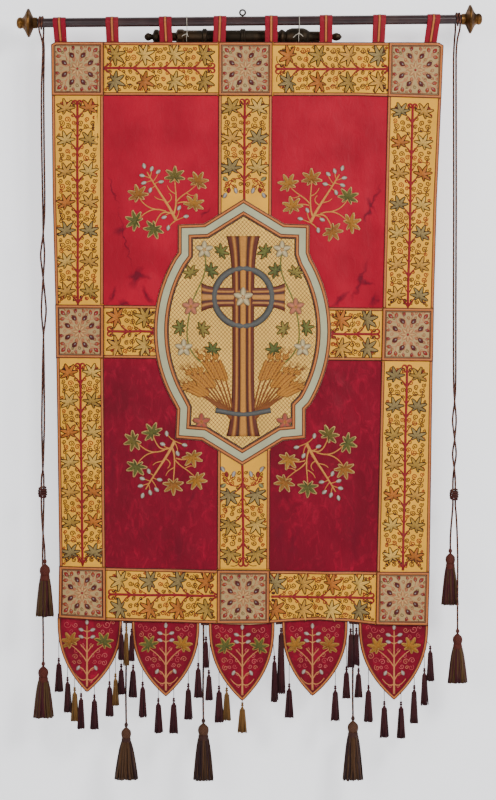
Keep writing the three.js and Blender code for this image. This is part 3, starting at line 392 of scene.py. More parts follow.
def fold(x, z):
    """Depth of the hanging folds: for each, its depth times a smooth start down its height times
    a bell across its line."""
    down = (FOLD_TOP - z) / (FOLD_TOP - FOLD_FOOT)
    total = 0.0
    for top, foot, half, back, begin, full in FOLDS:
        line = top + (foot - top) * down
        total = total + back * smooth((begin - z) / (begin - full)) * np.exp(-(((x - line) / half) ** 2))
    return total


def crease(x, z):
    """Depth of the listed creases: a bell across each line, which dies out over its ends."""
    total = 0.0
    for x1, z1, x2, z2, half, deep in CREASES:
        length = math.hypot(x2 - x1, z2 - z1)
        ax, az = (x2 - x1) / length, (z2 - z1) / length
        run = ((x - x1) * ax + (z - z1) * az) / length
        bend = 6 * np.sin(run * 5 + x1)
        aside = (x - x1) * az - (z - z1) * ax + bend
        ends = smooth((run + 0.12) / 0.3) * smooth((1.12 - run) / 0.3)
        total = total + deep * ends * np.exp(-((aside / half) ** 2))
    return total


def panel_share(x, z):
    """1 in the four plain satin panels and 0 on the bands and the medallion, with soft borders."""
    across = smooth((x - PANELS_LEFT) / 26) * smooth((PANELS_RIGHT - x) / 26)
    across = across * (1 - smooth((x - CROSS_LEFT) / 20) * smooth((CROSS_RIGHT - x) / 20))
    height = smooth((PANELS_TOP - z) / 26) * smooth((z - PANELS_FOOT) / 26)
    height = height * (1 - smooth((CROSS_TOP - z) / 20) * smooth((z - CROSS_FOOT) / 20))
    from_middle = np.sqrt((x / MEDALLION_WIDE) ** 2 + ((z - MEDALLION_MIDDLE) / MEDALLION_HIGH) ** 2)
    return across * height * smooth((from_middle - 0.93) / 0.12)


def crush(x, z):
    """Small crushed waves of the satin: crossed sines whose phase is bent by longer sines, stronger
    in the lower panels."""
    bent = x + 16 * np.sin(z / 61.0 + 1.3) + 9 * np.sin(x / 37.0)
    slope = z + 20 * np.sin(x / 73.0) + 11 * np.sin(z / 41.0 + 0.6)
    waves = np.sin(bent / 15.0) * np.sin(slope / 27.0) + 0.6 * np.sin((bent + 0.7 * slope) / 11.0)
    waves = waves + 0.7 * np.sin((bent - 0.5 * slope) / 19.0 + 2)
    depth = 0.22 + 0.5 * smooth((-1050 - z) / 250)
    return waves * depth * panel_share(x, z)


def lie(x, z):
    """y of the cloth's face at x and z."""
    return fold(x, z) + crease(x, z) + crush(x, z)


def upright(seam, z):
    """x of an upright seam at height z."""
    rows = np.array(seam, float)[::-1]
    return np.interp(z, rows[:, 0], rows[:, 1])


def level(seam, x):
    """z of a level seam at x."""
    rows = np.array(seam, float)
    return np.interp(x, rows[:, 0], rows[:, 1])


def crossing(side, line):
    z = float(line[0][1])
    for _ in range(4):
        z = float(level(line, upright(side, z)))
    return np.array([upright(side, z), z])


def corners_between(left, right, top, foot):
    """Where four seams cross: the upper left corner first, then down and round."""
    ends = ((left, top), (left, foot), (right, foot), (right, top))
    return np.array([crossing(*lines) for lines in ends])


def patch(left, right, top, foot, step, inset=0.0):
    """Grid of x and z between four seams: blends straight across and straight down between them."""
    corners = corners_between(left, right, top, foot)
    wide = max(corners[3][0] - corners[0][0], corners[2][0] - corners[1][0])
    high = max(corners[0][1] - corners[1][1], corners[3][1] - corners[2][1])
    columns = max(3, round(wide / step) + 1)
    rows = max(3, round(high / step) + 1)
    u = np.linspace(0, 1, columns)[None, :]
    v = np.linspace(0, 1, rows)[:, None]
    x = corners[0][0] + (corners[3][0] - corners[0][0]) * u + 0 * v
    for _ in range(3):
        high_z = level(top, x) - inset
        low_z = level(foot, x) + inset
        z = high_z + (low_z - high_z) * v
        x = upright(left, z) + inset + (upright(right, z) - upright(left, z) - 2 * inset) * u
    return x, z


def trimmed(x, z):
    """Cuts off the cloth's upper corners: lowers points near them, less and less down to 60 mm."""
    top = level(TOP_EDGE, x)
    left = np.clip(CORNER_CUT - (x - TOP_EDGE[0][0]), 0, CORNER_CUT)
    right = np.clip(CORNER_CUT - (TOP_EDGE[1][0] - x) / 1.5, 0, CORNER_CUT)
    return x, z - (left + right) * np.clip(1 - (top - z) / 60, 0, 1)


# Mesh building

class Heap:
    """Grids of points that become one mesh, with a colour and a running place for each point."""

    def __init__(self):
        self.points, self.faces, self.tints, self.runs, self.count = [], [], [], [], 0

    def add(self, points, faces, tints, runs):
        points = points.reshape(-1, 3)
        self.points.append(points)
        self.tints.append(np.broadcast_to(tints, runs.shape[:-1] + (3,)).reshape(-1, 3))
        self.runs.append(runs.reshape(-1, 3))
        self.faces.extend((faces_of + self.count).tolist() if len(faces_of) else [] for faces_of in faces)
        self.count += len(points)

    def piece(self, name, material, replaces=()):
        """Puts all the grids into one object that rides on the part, in metres."""
        mesh = bpy.data.meshes.new(name)
        faces = [face for part in self.faces for face in part]
        mesh.from_pydata((np.concatenate(self.points) * MM).tolist(), [], faces)
        tint = mesh.attributes.new("tint", "FLOAT_COLOR", "POINT")
        colours = np.ones((self.count, 4), np.float32)
        colours[:, :3] = np.concatenate(self.tints)
        tint.data.foreach_set("color", colours.ravel())
        run = mesh.attributes.new("run", "FLOAT_VECTOR", "POINT")
        run.data.foreach_set("vector", np.concatenate(self.runs).astype(np.float32).ravel())
        mesh.polygons.foreach_set("use_smooth", np.ones(len(mesh.polygons), bool))
        mesh.materials.append(MATERIALS[material])
        mesh.validate()
        mesh.update()
        made = bpy.data.objects.new(name, mesh)
        bpy.context.scene.collection.objects.link(made)
        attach(made, "root")
        for node in replaces:
            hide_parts(node)
        return made


def loops(heap, points, tints, runs, closed=False):
    """n closed tubes whose rings are points (n, rows, ring, 3): quads between rings and a face on
    each open end."""
    n, rows, ring, _ = points.shape
    index = np.arange(n * rows * ring).reshape(n, rows, ring)
    here = index if closed else index[:, :-1]
    below = np.roll(index, -1, 1) if closed else index[:, 1:]
    quads = np.stack([here, below, np.roll(below, -1, 2), np.roll(here, -1, 2)], -1).reshape(-1, 4)
    parts = [quads]
    if not closed:
        parts += [index[:, 0], index[:, -1, ::-1]]
    heap.add(points, parts, tints, runs)


def slab(heap, front, thick, tint, back=None):
    """A closed sheet: the grid front (rows, columns, 3), the same grid moved back, and their rim."""
    rows, columns, _ = front.shape
    behind = front + np.array([0, thick, 0]) if back is None else back
    index = np.arange(rows * columns).reshape(rows, columns)
    face = np.stack([index[:-1, :-1], index[1:, :-1], index[1:, 1:], index[:-1, 1:]], -1).reshape(-1, 4)
    rim = np.concatenate([index[:, 0], index[-1, 1:], index[-2::-1, -1], index[0, -2:0:-1]])
    far = rows * columns
    side = np.stack([rim, rim + far, np.roll(rim, -1) + far, np.roll(rim, -1)], -1)
    points = np.stack([front, behind])
    heap.add(points, [face, face[:, ::-1] + far, side], tint, points)


def mitres(paths, closed):
    """Side directions of flat paths (n, m, 2): at each point the mean of its two segments' normals,
    longer where they turn."""
    if closed:
        ahead = np.roll(paths, -1, 1) - paths
    else:
        ahead = np.diff(paths, axis=1)
    length = np.maximum(np.linalg.norm(ahead, axis=-1, keepdims=True), 1e-6)
    ahead = ahead / length
    normal = sideways(ahead)
    if closed:
        before, after = np.roll(normal, 1, 1), normal
    else:
        before = np.concatenate([normal[:, :1], normal], 1)
        after = np.concatenate([normal, normal[:, -1:]], 1)
    total = before + after
    reach = np.maximum(1 + (before * after).sum(-1, keepdims=True), 0.5)
    return total / reach


def travel(paths):
    """How far along its path each point lies."""
    steps = np.linalg.norm(np.diff(paths, axis=1), axis=-1)
    return np.concatenate([np.zeros((len(paths), 1)), np.cumsum(steps, 1)], 1)


def ribbon(heap, paths, width, lift, depth, across, rise, tints, closed=False):
    """Low ridges sewn on the cloth along flat paths (n, m, 2): each point is moved aside by its share
    of half the width and forward by its share of the lift, from the cloth's face at that place."""
    paths = np.asarray(paths, float)
    n, m, _ = paths.shape
    across, rise = np.asarray(across, float), np.asarray(rise, float)
    width = np.broadcast_to(np.asarray(width, float), (n, m))[..., None]
    lift = np.broadcast_to(np.asarray(lift, float), (n, m))[..., None]
    normal = mitres(paths, closed)
    aside = width / 2 * across
    x = paths[..., None, 0] + normal[..., None, 0] * aside
    z = paths[..., None, 1] + normal[..., None, 1] * aside
    sunk = np.where(np.abs(across) > 0.999, 0.25, 0.0)
    y = lie(x, z) + depth + sunk - lift * rise
    travelled = travel(paths)
    runs = np.stack(np.broadcast_arrays(travelled[..., None], aside, across + 0 * aside), -1)
    loops(heap, np.stack([x, y, z], -1), tints, runs, closed)


THREAD_ACROSS, THREAD_RISE = (-1, 0, 1), (0, 1, 0)
STEM_ACROSS, STEM_RISE = (-1, -0.6, 0, 0.6, 1), (0, 0.8, 1, 0.8, 0)
DROP_ACROSS, DROP_RISE = (-1, -0.66, 0, 0.66, 1), (0, 0.75, 1, 0.75, 0)
LOBE_ACROSS, LOBE_RISE = (-1, -0.72, -0.16, 0, 0.16, 0.72, 1), (0.1, 0.8, 1, 0.8, 1, 0.8, 0.1)
BRAID_ACROSS = (-1, -0.82, -0.6, -0.5, 0, 0.5, 0.6, 0.82, 1)
BRAID_RISE = (0, 0.8, 0.6, 0.9, 1, 0.9, 0.6, 0.8, 0)


def tubes(heap, paths, radii, sides, tints, reference=(1, 0, 0), lobes=0, pitch=1.0, groove=0.0):
    """n round tubes along paths (n, m, 3): a ring across each point. With lobes, the radius follows
    the strands of a rope, r(1 - groove(1 - |cos|^0.6)), which turn once in each pitch."""
    paths = np.asarray(paths, float)
    n, m, _ = paths.shape
    radii = np.broadcast_to(np.asarray(radii, float), (n, m))
    ahead = np.gradient(paths, axis=1)
    ahead = ahead / np.maximum(np.linalg.norm(ahead, axis=-1, keepdims=True), 1e-9)
    one = np.cross(ahead, np.asarray(reference, float))
    one = one / np.maximum(np.linalg.norm(one, axis=-1, keepdims=True), 1e-9)
    two = np.cross(ahead, one)
    turn = np.arange(sides) * 2 * np.pi / sides
    travelled = travel(paths)
    radius = radii[..., None] + 0 * turn
    if lobes:
        twist = travelled[..., None] * 2 * np.pi / pitch
        strand = np.abs(np.cos((turn - twist) * lobes / 2))
        radius = radius * (1 - groove * (1 - strand**0.6))
    ring = one[:, :, None] * np.cos(turn)[:, None] + two[:, :, None] * np.sin(turn)[:, None]
    points = paths[:, :, None] + ring * radius[..., None]
    runs = np.stack(np.broadcast_arrays(travelled[..., None], turn + 0 * radius, radius), -1)
    loops(heap, points[:, :, ::-1], tints, runs[:, :, ::-1])


def lathe(heap, profile, sides, tints, matrix, centre):
    """A turned shape: profile rows (radius, height) swept round; the matrix's columns are its two
    cross directions and its axis."""
    profile = np.asarray(profile, float)
    turn = np.arange(sides) * 2 * np.pi / sides
    radius = np.maximum(profile[:, :1], 0.02) + 0 * turn
    local = np.stack([radius * np.cos(turn), radius * np.sin(turn), profile[:, 1:] + 0 * turn], -1)
    points = local @ np.asarray(matrix, float).T + np.asarray(centre, float)
    runs = np.stack([profile[:, 1:] + 0 * turn, turn + 0 * radius, radius], -1)
    loops(heap, points[None], tints, runs[None])


def rounded(profile, reach=1.2):
    """The profile with each corner replaced by a short quadratic curve, (1-t)^2 a + 2t(1-t) p + t^2 b."""
    rows = np.asarray(profile, float)
    middle, before, after = rows[1:-1], rows[:-2], rows[2:]
    share_a = np.minimum(0.42, reach / np.maximum(np.linalg.norm(before - middle, axis=1), 1e-6))[:, None]
    share_b = np.minimum(0.42, reach / np.maximum(np.linalg.norm(after - middle, axis=1), 1e-6))[:, None]
    a = middle + (before - middle) * share_a
    b = middle + (after - middle) * share_b
    t = np.linspace(0, 1, 5)[None, :, None]
    curve = (1 - t) ** 2 * a[:, None] + 2 * t * (1 - t) * middle[:, None] + t**2 * b[:, None]
    return np.concatenate([rows[:1], curve.reshape(-1, 2), rows[-1:]])


DOWN = np.array([[1, 0, 0], [0, 1, 0], [0, 0, 1]], float)
RIGHTWARD = np.array([[0, 0, 1], [1, 0, 0], [0, 1, 0]], float)
LEFTWARD = np.array([[0, 0, -1], [-1, 0, 0], [0, 1, 0]], float)


def dense(points, step):
    """Catmull-Rom curve through the points, cut into steps of about the given length."""
    points = np.asarray(points, float)
    before = np.concatenate([[2 * points[0] - points[1]], points[:-2]])
    after = np.concatenate([points[2:], [2 * points[-1] - points[-2]]])
    a, b = points[:-1], points[1:]
    parts = 24
    t = (np.arange(parts) / parts)[None, :, None]
    m_a = ((b - before) / 2)[:, None]
    m_b = ((after - a) / 2)[:, None]
    a, b = a[:, None], b[:, None]
    curve = (
        (2 * t**3 - 3 * t**2 + 1) * a + (t**3 - 2 * t**2 + t) * m_a
        + (-2 * t**3 + 3 * t**2) * b + (t**3 - t**2) * m_b
    )
    curve = np.concatenate([curve.reshape(-1, points.shape[1]), points[-1:]])
    return even(curve, step)


def even(curve, step):
    """A polyline cut again into equal steps along its length."""
    lengths = np.concatenate([[0], np.cumsum(np.linalg.norm(np.diff(curve, axis=0), axis=1))])
    count = max(2, int(math.ceil(lengths[-1] / step)) + 1)
    at = np.linspace(0, lengths[-1], count)
    return np.stack([np.interp(at, lengths, curve[:, i]) for i in range(curve.shape[1])], -1)


def bezier(rows, count):
    """Cubic curves from rows of eight numbers x0 z0 x1 z1 x2 z2 x3 z3, as (n, count, 2)."""
    rows = np.asarray(rows, float)
    p = rows[:, :8].reshape(-1, 1, 4, 2)
    t = np.linspace(0, 1, count)[None, :, None]
    return (
        (1 - t) ** 3 * p[:, :, 0] + 3 * t * (1 - t) ** 2 * p[:, :, 1]
        + 3 * t**2 * (1 - t) * p[:, :, 2] + t**3 * p[:, :, 3]
    )


def spiral(centre, inner, outer, begin, turns, count=20):
    """Flat spirals: the radius goes from outer to inner while the angle goes through the turns."""
    t = np.linspace(0, 1, count)
    angle = np.radians(begin) + turns * 2 * np.pi * t
    radius = outer + (inner - outer) * t
    return np.stack([centre[0] + radius * np.cos(angle), centre[1] + radius * np.sin(angle)], -1)


def inset_loop(outline, distance):
    """A closed outline moved inwards with mitred corners; the outline runs anticlockwise seen from
    the front."""
    return outline + mitres(outline[None], True)[0] * distance


# Materials

def socket(tree, name, kind, way="INPUT", value=None):
    made = tree.interface.new_socket(name=name, in_out=way, socket_type=kind)
    if value is not None:
        made.default_value = value
    return made


def fed(tree, node, inputs):
    """The node, with each of its inputs set to a value or linked to an output socket."""
    for key, value in inputs.items():
        if isinstance(value, bpy.types.NodeSocket):
            tree.links.new(value, node.inputs[key])
        else:
            node.inputs[key].default_value = value
    return node


def place(tree, kind, inputs=None, **settings):
    """A shader node with its settings; an input is a value, or an output socket to be linked."""
    made = tree.nodes.new("ShaderNode" + kind)
    for key, value in settings.items():
        setattr(made, key, value)
    return fed(tree, made, inputs or {})


def ramp(tree, factor, stops):
    """A colour ramp with stops of (place, colour or grey)."""
    made = place(tree, "ValToRGB", {"Fac": factor})
    rows = made.color_ramp.elements
    for i, (at, value) in enumerate(stops):
        element = rows[i] if i < 2 else rows.new(at)
        element.position = at
        element.color = (*value, 1) if hasattr(value, "__len__") else (value, value, value, 1)
    return made.outputs["Color"]


def mix(tree, factor, one, two, blend="MIX"):
    one, two = (side if isinstance(side, bpy.types.NodeSocket) else (*side[:3], 1) for side in (one, two))
    made = place(tree, "Mix", {0: factor, 6: one, 7: two}, data_type="RGBA", blend_type=blend)
    return made.outputs[2]


def maths(tree, operation, one, two=0.5):
    return place(tree, "Math", {0: one, 1: two}, operation=operation).outputs[0]


def group(name, inputs, outputs):
    tree = bpy.data.node_groups.new(name, "ShaderNodeTree")
    for label, kind, value in inputs:
        socket(tree, label, kind, "INPUT", value)
    for label, kind in outputs:
        socket(tree, label, kind, "OUTPUT")
    return tree, tree.nodes.new("NodeGroupInput"), tree.nodes.new("NodeGroupOutput")


COLOUR, NUMBER = "NodeSocketColor", "NodeSocketFloat"


def weave_group():
    """Crossed threads on the object's own x and z: a height, and a colour that is darker between the
    threads and drifts slowly."""
    tree, given, result = group(
        "woven threads",
        (("Tint", COLOUR, (0.5, 0.1, 0.1, 1)), ("Threads", NUMBER, 900.0), ("Drift", NUMBER, 0.12)),
        (("Colour", COLOUR), ("Height", NUMBER)),
    )
    where = place(tree, "TexCoord").outputs["Object"]
    waves = []
    for axis in ("X", "Z"):
        wave = place(
            tree, "TexWave", {"Vector": where, "Scale": given.outputs["Threads"], "Distortion": 0.6},
            bands_direction=axis, wave_type="BANDS",
        )
        waves.append(wave.outputs["Fac"])
    height = maths(tree, "MAXIMUM", waves[0], waves[1])
    cloud = place(tree, "TexNoise", {"Vector": where, "Scale": 7.0, "Detail": 5.0}).outputs["Fac"]
    drift = maths(tree, "MULTIPLY", maths(tree, "SUBTRACT", cloud, 0.5), given.outputs["Drift"])
    shade = maths(tree, "ADD", maths(tree, "MULTIPLY", height, 0.14), 0.9)
    shade = maths(tree, "ADD", shade, maths(tree, "MULTIPLY", drift, 4.0))
    tinted = place(tree, "VectorMath", {0: given.outputs["Tint"], "Scale": shade}, operation="SCALE")
    tree.links.new(tinted.outputs[0], result.inputs["Colour"])
    tree.links.new(height, result.inputs["Height"])
    return tree


def stitch_group():
    """Satin stitches across a sewn shape: threads follow its running place, side by side along it."""
    tree, given, result = group(
        "satin stitches",
        (("Tint", COLOUR, (0.6, 0.4, 0.1, 1)), ("Threads", NUMBER, 4.0), ("Slant", NUMBER, 0.5)),
        (("Colour", COLOUR), ("Height", NUMBER)),
    )
    run = place(tree, "Attribute", attribute_name="run").outputs["Vector"]
    parts = place(tree, "SeparateXYZ", {0: run})
    slanted = maths(tree, "MULTIPLY", parts.outputs[1], given.outputs["Slant"])
    at = maths(tree, "MULTIPLY", maths(tree, "ADD", parts.outputs[0], slanted), given.outputs["Threads"])
    threads = maths(tree, "ADD", maths(tree, "MULTIPLY", maths(tree, "SINE", at), 0.5), 0.5)
    where = place(tree, "TexCoord").outputs["Object"]
    noise = place(tree, "TexNoise", {"Vector": where, "Scale": 160.0, "Detail": 3.0}).outputs["Fac"]
    shade = maths(tree, "ADD", maths(tree, "MULTIPLY", threads, 0.22), 0.78)
    shade = maths(tree, "ADD", shade, maths(tree, "MULTIPLY", maths(tree, "SUBTRACT", noise, 0.5), 0.5))
    tinted = place(tree, "VectorMath", {0: given.outputs["Tint"], "Scale": shade}, operation="SCALE")
    tree.links.new(tinted.outputs[0], result.inputs["Colour"])
    tree.links.new(threads, result.inputs["Height"])
    return tree


def age_group():
    """Dust and fading: a greyer, paler colour in slow patches."""
    tree, given, result = group(
        "age",
        (
            ("Tint", COLOUR, (0.5, 0.5, 0.5, 1)),
            ("Dust", COLOUR, (0.4, 0.36, 0.3, 1)),
            ("Amount", NUMBER, 0.2),
        ),
        (("Colour", COLOUR), ("Mask", NUMBER)),
    )
    where = place(tree, "TexCoord").outputs["Object"]
    cloud = place(tree, "TexNoise", {"Vector": where, "Scale": 11.0, "Detail": 6.0, "Roughness": 0.62})
    mask = ramp(tree, cloud.outputs["Fac"], ((0.42, 0.0), (0.7, 1.0)))
    share = maths(tree, "MULTIPLY", mask, given.outputs["Amount"])
    tree.links.new(mix(tree, share, given.outputs["Tint"], given.outputs["Dust"]), result.inputs["Colour"])
    tree.links.new(share, result.inputs["Mask"])
    return tree


def grain_group():
    """Wood grain along x: noise that is stretched along the rod, in two tones."""
    tree, given, result = group(
        "wood grain",
        (("Light", COLOUR, (0.2, 0.05, 0.03, 1)), ("Dark", COLOUR, (0.05, 0.01, 0.01, 1))),
        (("Colour", COLOUR), ("Height", NUMBER)),
    )
    where = place(tree, "TexCoord").outputs["Object"]
    long = place(tree, "Mapping", {"Vector": where, "Scale": (3.0, 90.0, 90.0)}).outputs[0]
    lines = place(tree, "TexNoise", {"Vector": long, "Scale": 2.0, "Detail": 7.0, "Roughness": 0.6})
    tone = ramp(tree, lines.outputs["Fac"], ((0.32, 0.0), (0.68, 1.0)))
    tree.links.new(mix(tree, tone, given.outputs["Dark"], given.outputs["Light"]), result.inputs["Colour"])
    tree.links.new(lines.outputs["Fac"], result.inputs["Height"])
    return tree


def use(tree, name, inputs):
    """A shader group, with its inputs fed."""
    node = tree.nodes.new("ShaderNodeGroup")
    node.node_tree = GROUPS[name]
    return fed(tree, node, inputs)


def finish_of(name, **values):
    """A material whose Principled shader has these values on its own sockets."""
    material = bpy.data.materials.new(name)
    material.use_nodes = True
    shader = material.node_tree.nodes["Principled BSDF"]
    for key, value in values.items():
        shader.inputs[key.replace("_", " ")].default_value = value
    return material, material.node_tree, shader


def coat(tree, shader, colour, height, distance, strength, dust=None, amount=0.0):
    """Gives the shader its colour, aged where it has dust, and its relief."""
    if dust:
        aged = {"Tint": colour, "Dust": (*linear(*dust), 1), "Amount": amount}
        colour = use(tree, "age", aged).outputs["Colour"]
    relief = place(tree, "Bump", {"Height": height, "Distance": distance, "Strength": strength})
    fed(tree, shader, {"Base Color": colour, "Normal": relief.outputs["Normal"]})


GROUPS = {}
MATERIALS = {}


def crease_shade_mask(tree, where):
    """Mask of the painted crease shade: a sum of soft ellipses in the xz plane, ragged at their edges,
    1 on a mark's line and 0 past its half width."""
    wobble = place(tree, "TexNoise", {"Vector": where, "Scale": 30.0, "Detail": 4.0}).outputs["Color"]
    centred = place(tree, "VectorMath", {0: wobble, 1: (0.5, 0.5, 0.5)}, operation="SUBTRACT").outputs[0]
    shift = {0: centred, 1: (0.05, 0.0, 0.05), 2: where}
    ragged = place(tree, "VectorMath", shift, operation="MULTIPLY_ADD").outputs[0]
    total = 0.0
    for x1, z1, x2, z2, half in CREASE_SHADES:
        middle = ((x1 + x2) / 2 * MM, 0, (z1 + z2) / 2 * MM)
        reach = math.hypot(x2 - x1, z2 - z1) / 2 + half
        place_on = {
            "Vector": ragged,
            "Location": middle,
            "Rotation": (0, math.atan2(z1 - z2, x2 - x1), 0),
            "Scale": (reach * MM, 10.0, half * MM),
        }
        local = place(tree, "Mapping", place_on, vector_type="TEXTURE").outputs[0]
        spot = place(tree, "TexGradient", {"Vector": local}, gradient_type="SPHERICAL").outputs["Fac"]
        total = maths(tree, "ADD", spot, total)
    return total


def satin(name, light, dark, painted_sheen, crease_shade):
    """Red satin: a weave, slow paler and darker clouds, painted shade along its creases, and watered
    streaks whose paler red is painted sheen, growing stronger in the lower half."""
    material, tree, shader = finish_of(name, Specular_IOR_Level=0.2)
    where = place(tree, "TexCoord").outputs["Object"]
    height = place(tree, "SeparateXYZ", {0: where}).outputs[2]
    low = place(tree, "MapRange", {0: height, 1: -0.98, 2: -1.22, 3: 0.0, 4: 1.0}).outputs[0]
    base = mix(tree, low, light, dark)
    slanted = {"Vector": where, "Scale": (1.0, 1.0, 0.55), "Rotation": (0, 0.35, 0)}
    bent = place(tree, "Mapping", slanted).outputs[0]
    watered = {"Vector": bent, "Scale": 34.0, "Detail": 6.0, "Roughness": 0.66, "Distortion": 1.1}
    streak = place(tree, "TexNoise", watered).outputs["Fac"]
    streaks = ramp(tree, streak, ((0.5, 0.0), (0.6, 0.4), (0.7, 1.0)))
    strength = maths(tree, "ADD", maths(tree, "MULTIPLY", low, 0.5), 0.08)
    # Painted sheen: a paler red mixed in along the streaks, stronger lower down.
    pale = mix(tree, maths(tree, "MULTIPLY", streaks, strength), base, linear(*painted_sheen))
    cloud = place(tree, "TexNoise", {"Vector": where, "Scale": 5.5, "Detail": 3.0}).outputs["Fac"]
    clouds = ramp(tree, cloud, ((0.34, 0.78), (0.64, 1.08)))
    toned = mix(tree, 1.0, pale, clouds, "MULTIPLY")
    # Painted shade along the creases, from the crease mask.
    toned = mix(tree, maths(tree, "MULTIPLY", crease_shade_mask(tree, where), 1.1), toned, linear(*crease_shade))
    woven = use(tree, "weave", {"Tint": toned, "Threads": 420.0, "Drift": 0.05})
    rough = place(tree, "MapRange", {0: streak, 1: 0.4, 2: 0.65, 3: 0.56, 4: 0.4}).outputs[0]
    fed(tree, shader, {"Roughness": rough})
    thread = maths(tree, "MULTIPLY", woven.outputs["Height"], 0.1)
    lift = maths(tree, "ADD", maths(tree, "MULTIPLY", streak, 3.0), thread)
    coat(tree, shader, woven.outputs["Colour"], lift, 0.0012, 0.55)
    return material


def laid_ground(name, tint, threads, roughness=0.62, drift=0.14, dust=0.12):
    """Ground of couched gold threads, with a slow drift of tone and dust in slow patches."""
    material, tree, shader = finish_of(name, Roughness=roughness, Sheen_Weight=0.04, Specular_IOR_Level=0.25)
    woven = use(tree, "weave", {"Tint": (*tint, 1), "Threads": threads, "Drift": drift})
    coat(tree, shader, woven.outputs["Colour"], woven.outputs["Height"], 0.0003, 0.7, (150, 116, 78), dust)
    return material


def stitched(name, threads, slant, roughness, dust=0.1):
    """Embroidery: each point's own colour in satin stitches, with a silky gloss."""
    material, tree, shader = finish_of(name, Roughness=roughness, Sheen_Weight=0.04, Specular_IOR_Level=0.3)
    tint = place(tree, "Attribute", attribute_name="tint").outputs["Color"]
    sewn = use(tree, "stitch", {"Tint": tint, "Threads": threads, "Slant": slant})
    coat(tree, shader, sewn.outputs["Colour"], sewn.outputs["Height"], 0.0003, 0.6, (120, 90, 64), dust)
    return material


def wood(name, light, dark):
    """Polished wood whose grain runs along x, with dust in slow patches."""
    material, tree, shader = finish_of(name, Roughness=0.3, Coat_Weight=0.45, Coat_Roughness=0.2)
    grain = use(tree, "grain", {"Light": (*light, 1), "Dark": (*dark, 1)})
    coat(tree, shader, grain.outputs["Colour"], grain.outputs["Height"], 0.0005, 0.4, (86, 62, 54), 0.35)
    return material


def old_metal(name, bright, dull, roughness, metallic=1.0, scale=26.0):
    """Handled metal: bright and dull patches, rougher where it is dull, with small dents."""
    material, tree, shader = finish_of(name, Metallic=metallic, Roughness=roughness)
    where = place(tree, "TexCoord").outputs["Object"]
    patches = {"Vector": where, "Scale": scale, "Detail": 7.0, "Roughness": 0.65}
    cloud = place(tree, "TexNoise", patches).outputs["Fac"]
    share = ramp(tree, cloud, ((0.4, 0.0), (0.62, 1.0)))
    rough = place(tree, "MapRange", {0: share, 3: roughness - 0.08, 4: roughness + 0.22}).outputs[0]
    fed(tree, shader, {"Roughness": rough})
    coat(tree, shader, mix(tree, share, bright, dull), cloud, 0.0006, 0.35, (70, 56, 40), 0.3)
    return material


def plain_stage(name, tint, glow):
    """Pale paint, seen from its front side only, with a faint roller grain."""
    material, tree, shader = finish_of(name, Roughness=0.85)
    where = place(tree, "TexCoord").outputs["Object"]
    cloud = place(tree, "TexNoise", {"Vector": where, "Scale": 3.0, "Detail": 4.0}).outputs["Fac"]
    tone = ramp(tree, cloud, ((0.3, tuple(c * 0.97 for c in tint)), (0.7, tint)))
    seen = place(tree, "LightPath").outputs["Is Camera Ray"]
    shine = mix(tree, seen, (0, 0, 0), tone)
    fed(tree, shader, {"Base Color": tone, "Emission Color": shine, "Emission Strength": glow})
    clear = place(tree, "BsdfTransparent")
    facing = place(tree, "NewGeometry").outputs["Backfacing"]
    both = place(tree, "MixShader", {0: facing, 1: shader.outputs[0], 2: clear.outputs[0]})
    tree.links.new(both.outputs[0], tree.nodes["Material Output"].inputs["Surface"])
    return material


# Settings

def colour(label, hint, *values):
    return bpy.props.FloatVectorProperty(
        name=label, description=hint, subtype="COLOR", size=3, min=0, max=1, default=linear(*values)
    )


class BannerCloths(bpy.types.PropertyGroup):
    upper_red: colour("Upper red", "Satin of the upper panels", 180, 0, 40)
    lower_red: colour("Lower red", "Satin of the lower panels and the scallops", 128, 0, 32)
    gold_ground: colour("Gold ground", "Ground of the embroidered bands", 255, 182, 44)
    sage: colour("Sage", "Ground of the squares", 190, 158, 106)
    field: colour("Field", "Ground of the medallion", 255, 206, 100)
    border: colour("Border", "Grey-green border of the medallion", 190, 188, 148)


class BannerYarns(bpy.types.PropertyGroup):
    cord: colour("Cord", "Twisted side and hem cords", 70, 24, 20)
    maroon: colour("Maroon", "Maroon locks of the tassels", 66, 8, 20)
    old_gold: colour("Old gold", "Gold locks of the tassels", 128, 88, 36)
    head: colour("Head", "Netted heads of the tassels", 96, 34, 22)
    string: colour("String", "Strings that tie the staff", 214, 204, 186)


class BannerFittings(bpy.types.PropertyGroup):
    wood: colour("Wood", "Lighter grain of the rod", 54, 12, 14)
    wood_dark: colour("Dark wood", "Darker grain of the rod", 24, 6, 8)
    brass: colour("Brass", "Finials", 140, 98, 50)
    bronze: colour("Bronze", "Staff behind the rod", 84, 64, 44)
    iron: colour("Iron", "Hanging eye", 74, 68, 62)


class BannerStudio(bpy.types.PropertyGroup):
    distance: bpy.props.FloatProperty(
        name="Camera distance", description="From the cloth to the camera", unit="LENGTH", default=9.0
    )
    lens: bpy.props.FloatProperty(name="Lens", description="Focal length in millimetres", default=119.12)
    wall_gap: bpy.props.FloatProperty(
        name="Wall gap", description="From the cloth to the backdrop", unit="LENGTH", default=0.13
    )
    key: bpy.props.FloatProperty(
        name="Key light", description="Power of the key light", unit="POWER", default=192.0
    )


def settings():
    scene = bpy.context.scene
    return scene.banner_cloths, scene.banner_yarns, scene.banner_fittings, scene.banner_studio


# Parts of the embroidery

def grid_piece(name, x, z, depth, thick, material, node):
    """A closed sheet on the fold surface that stands for its solid."""
    heap = Heap()
    x, z = trimmed(x, z)
    slab(heap, np.stack([x, lie(x, z) + depth, z], -1), thick, np.ones(3))
    made = heap.piece(name, material, [node])
    return made


def lay_braid(heap, path, width, depth, closed=False):
    """A couched braid with a dark cord on both edges along a flat path, and a painted highlight along its
    crown.
    """
    ribbon(heap, path[None], width, 1.3, depth, BRAID_ACROSS, BRAID_RISE, BRAID_TINTS, closed)


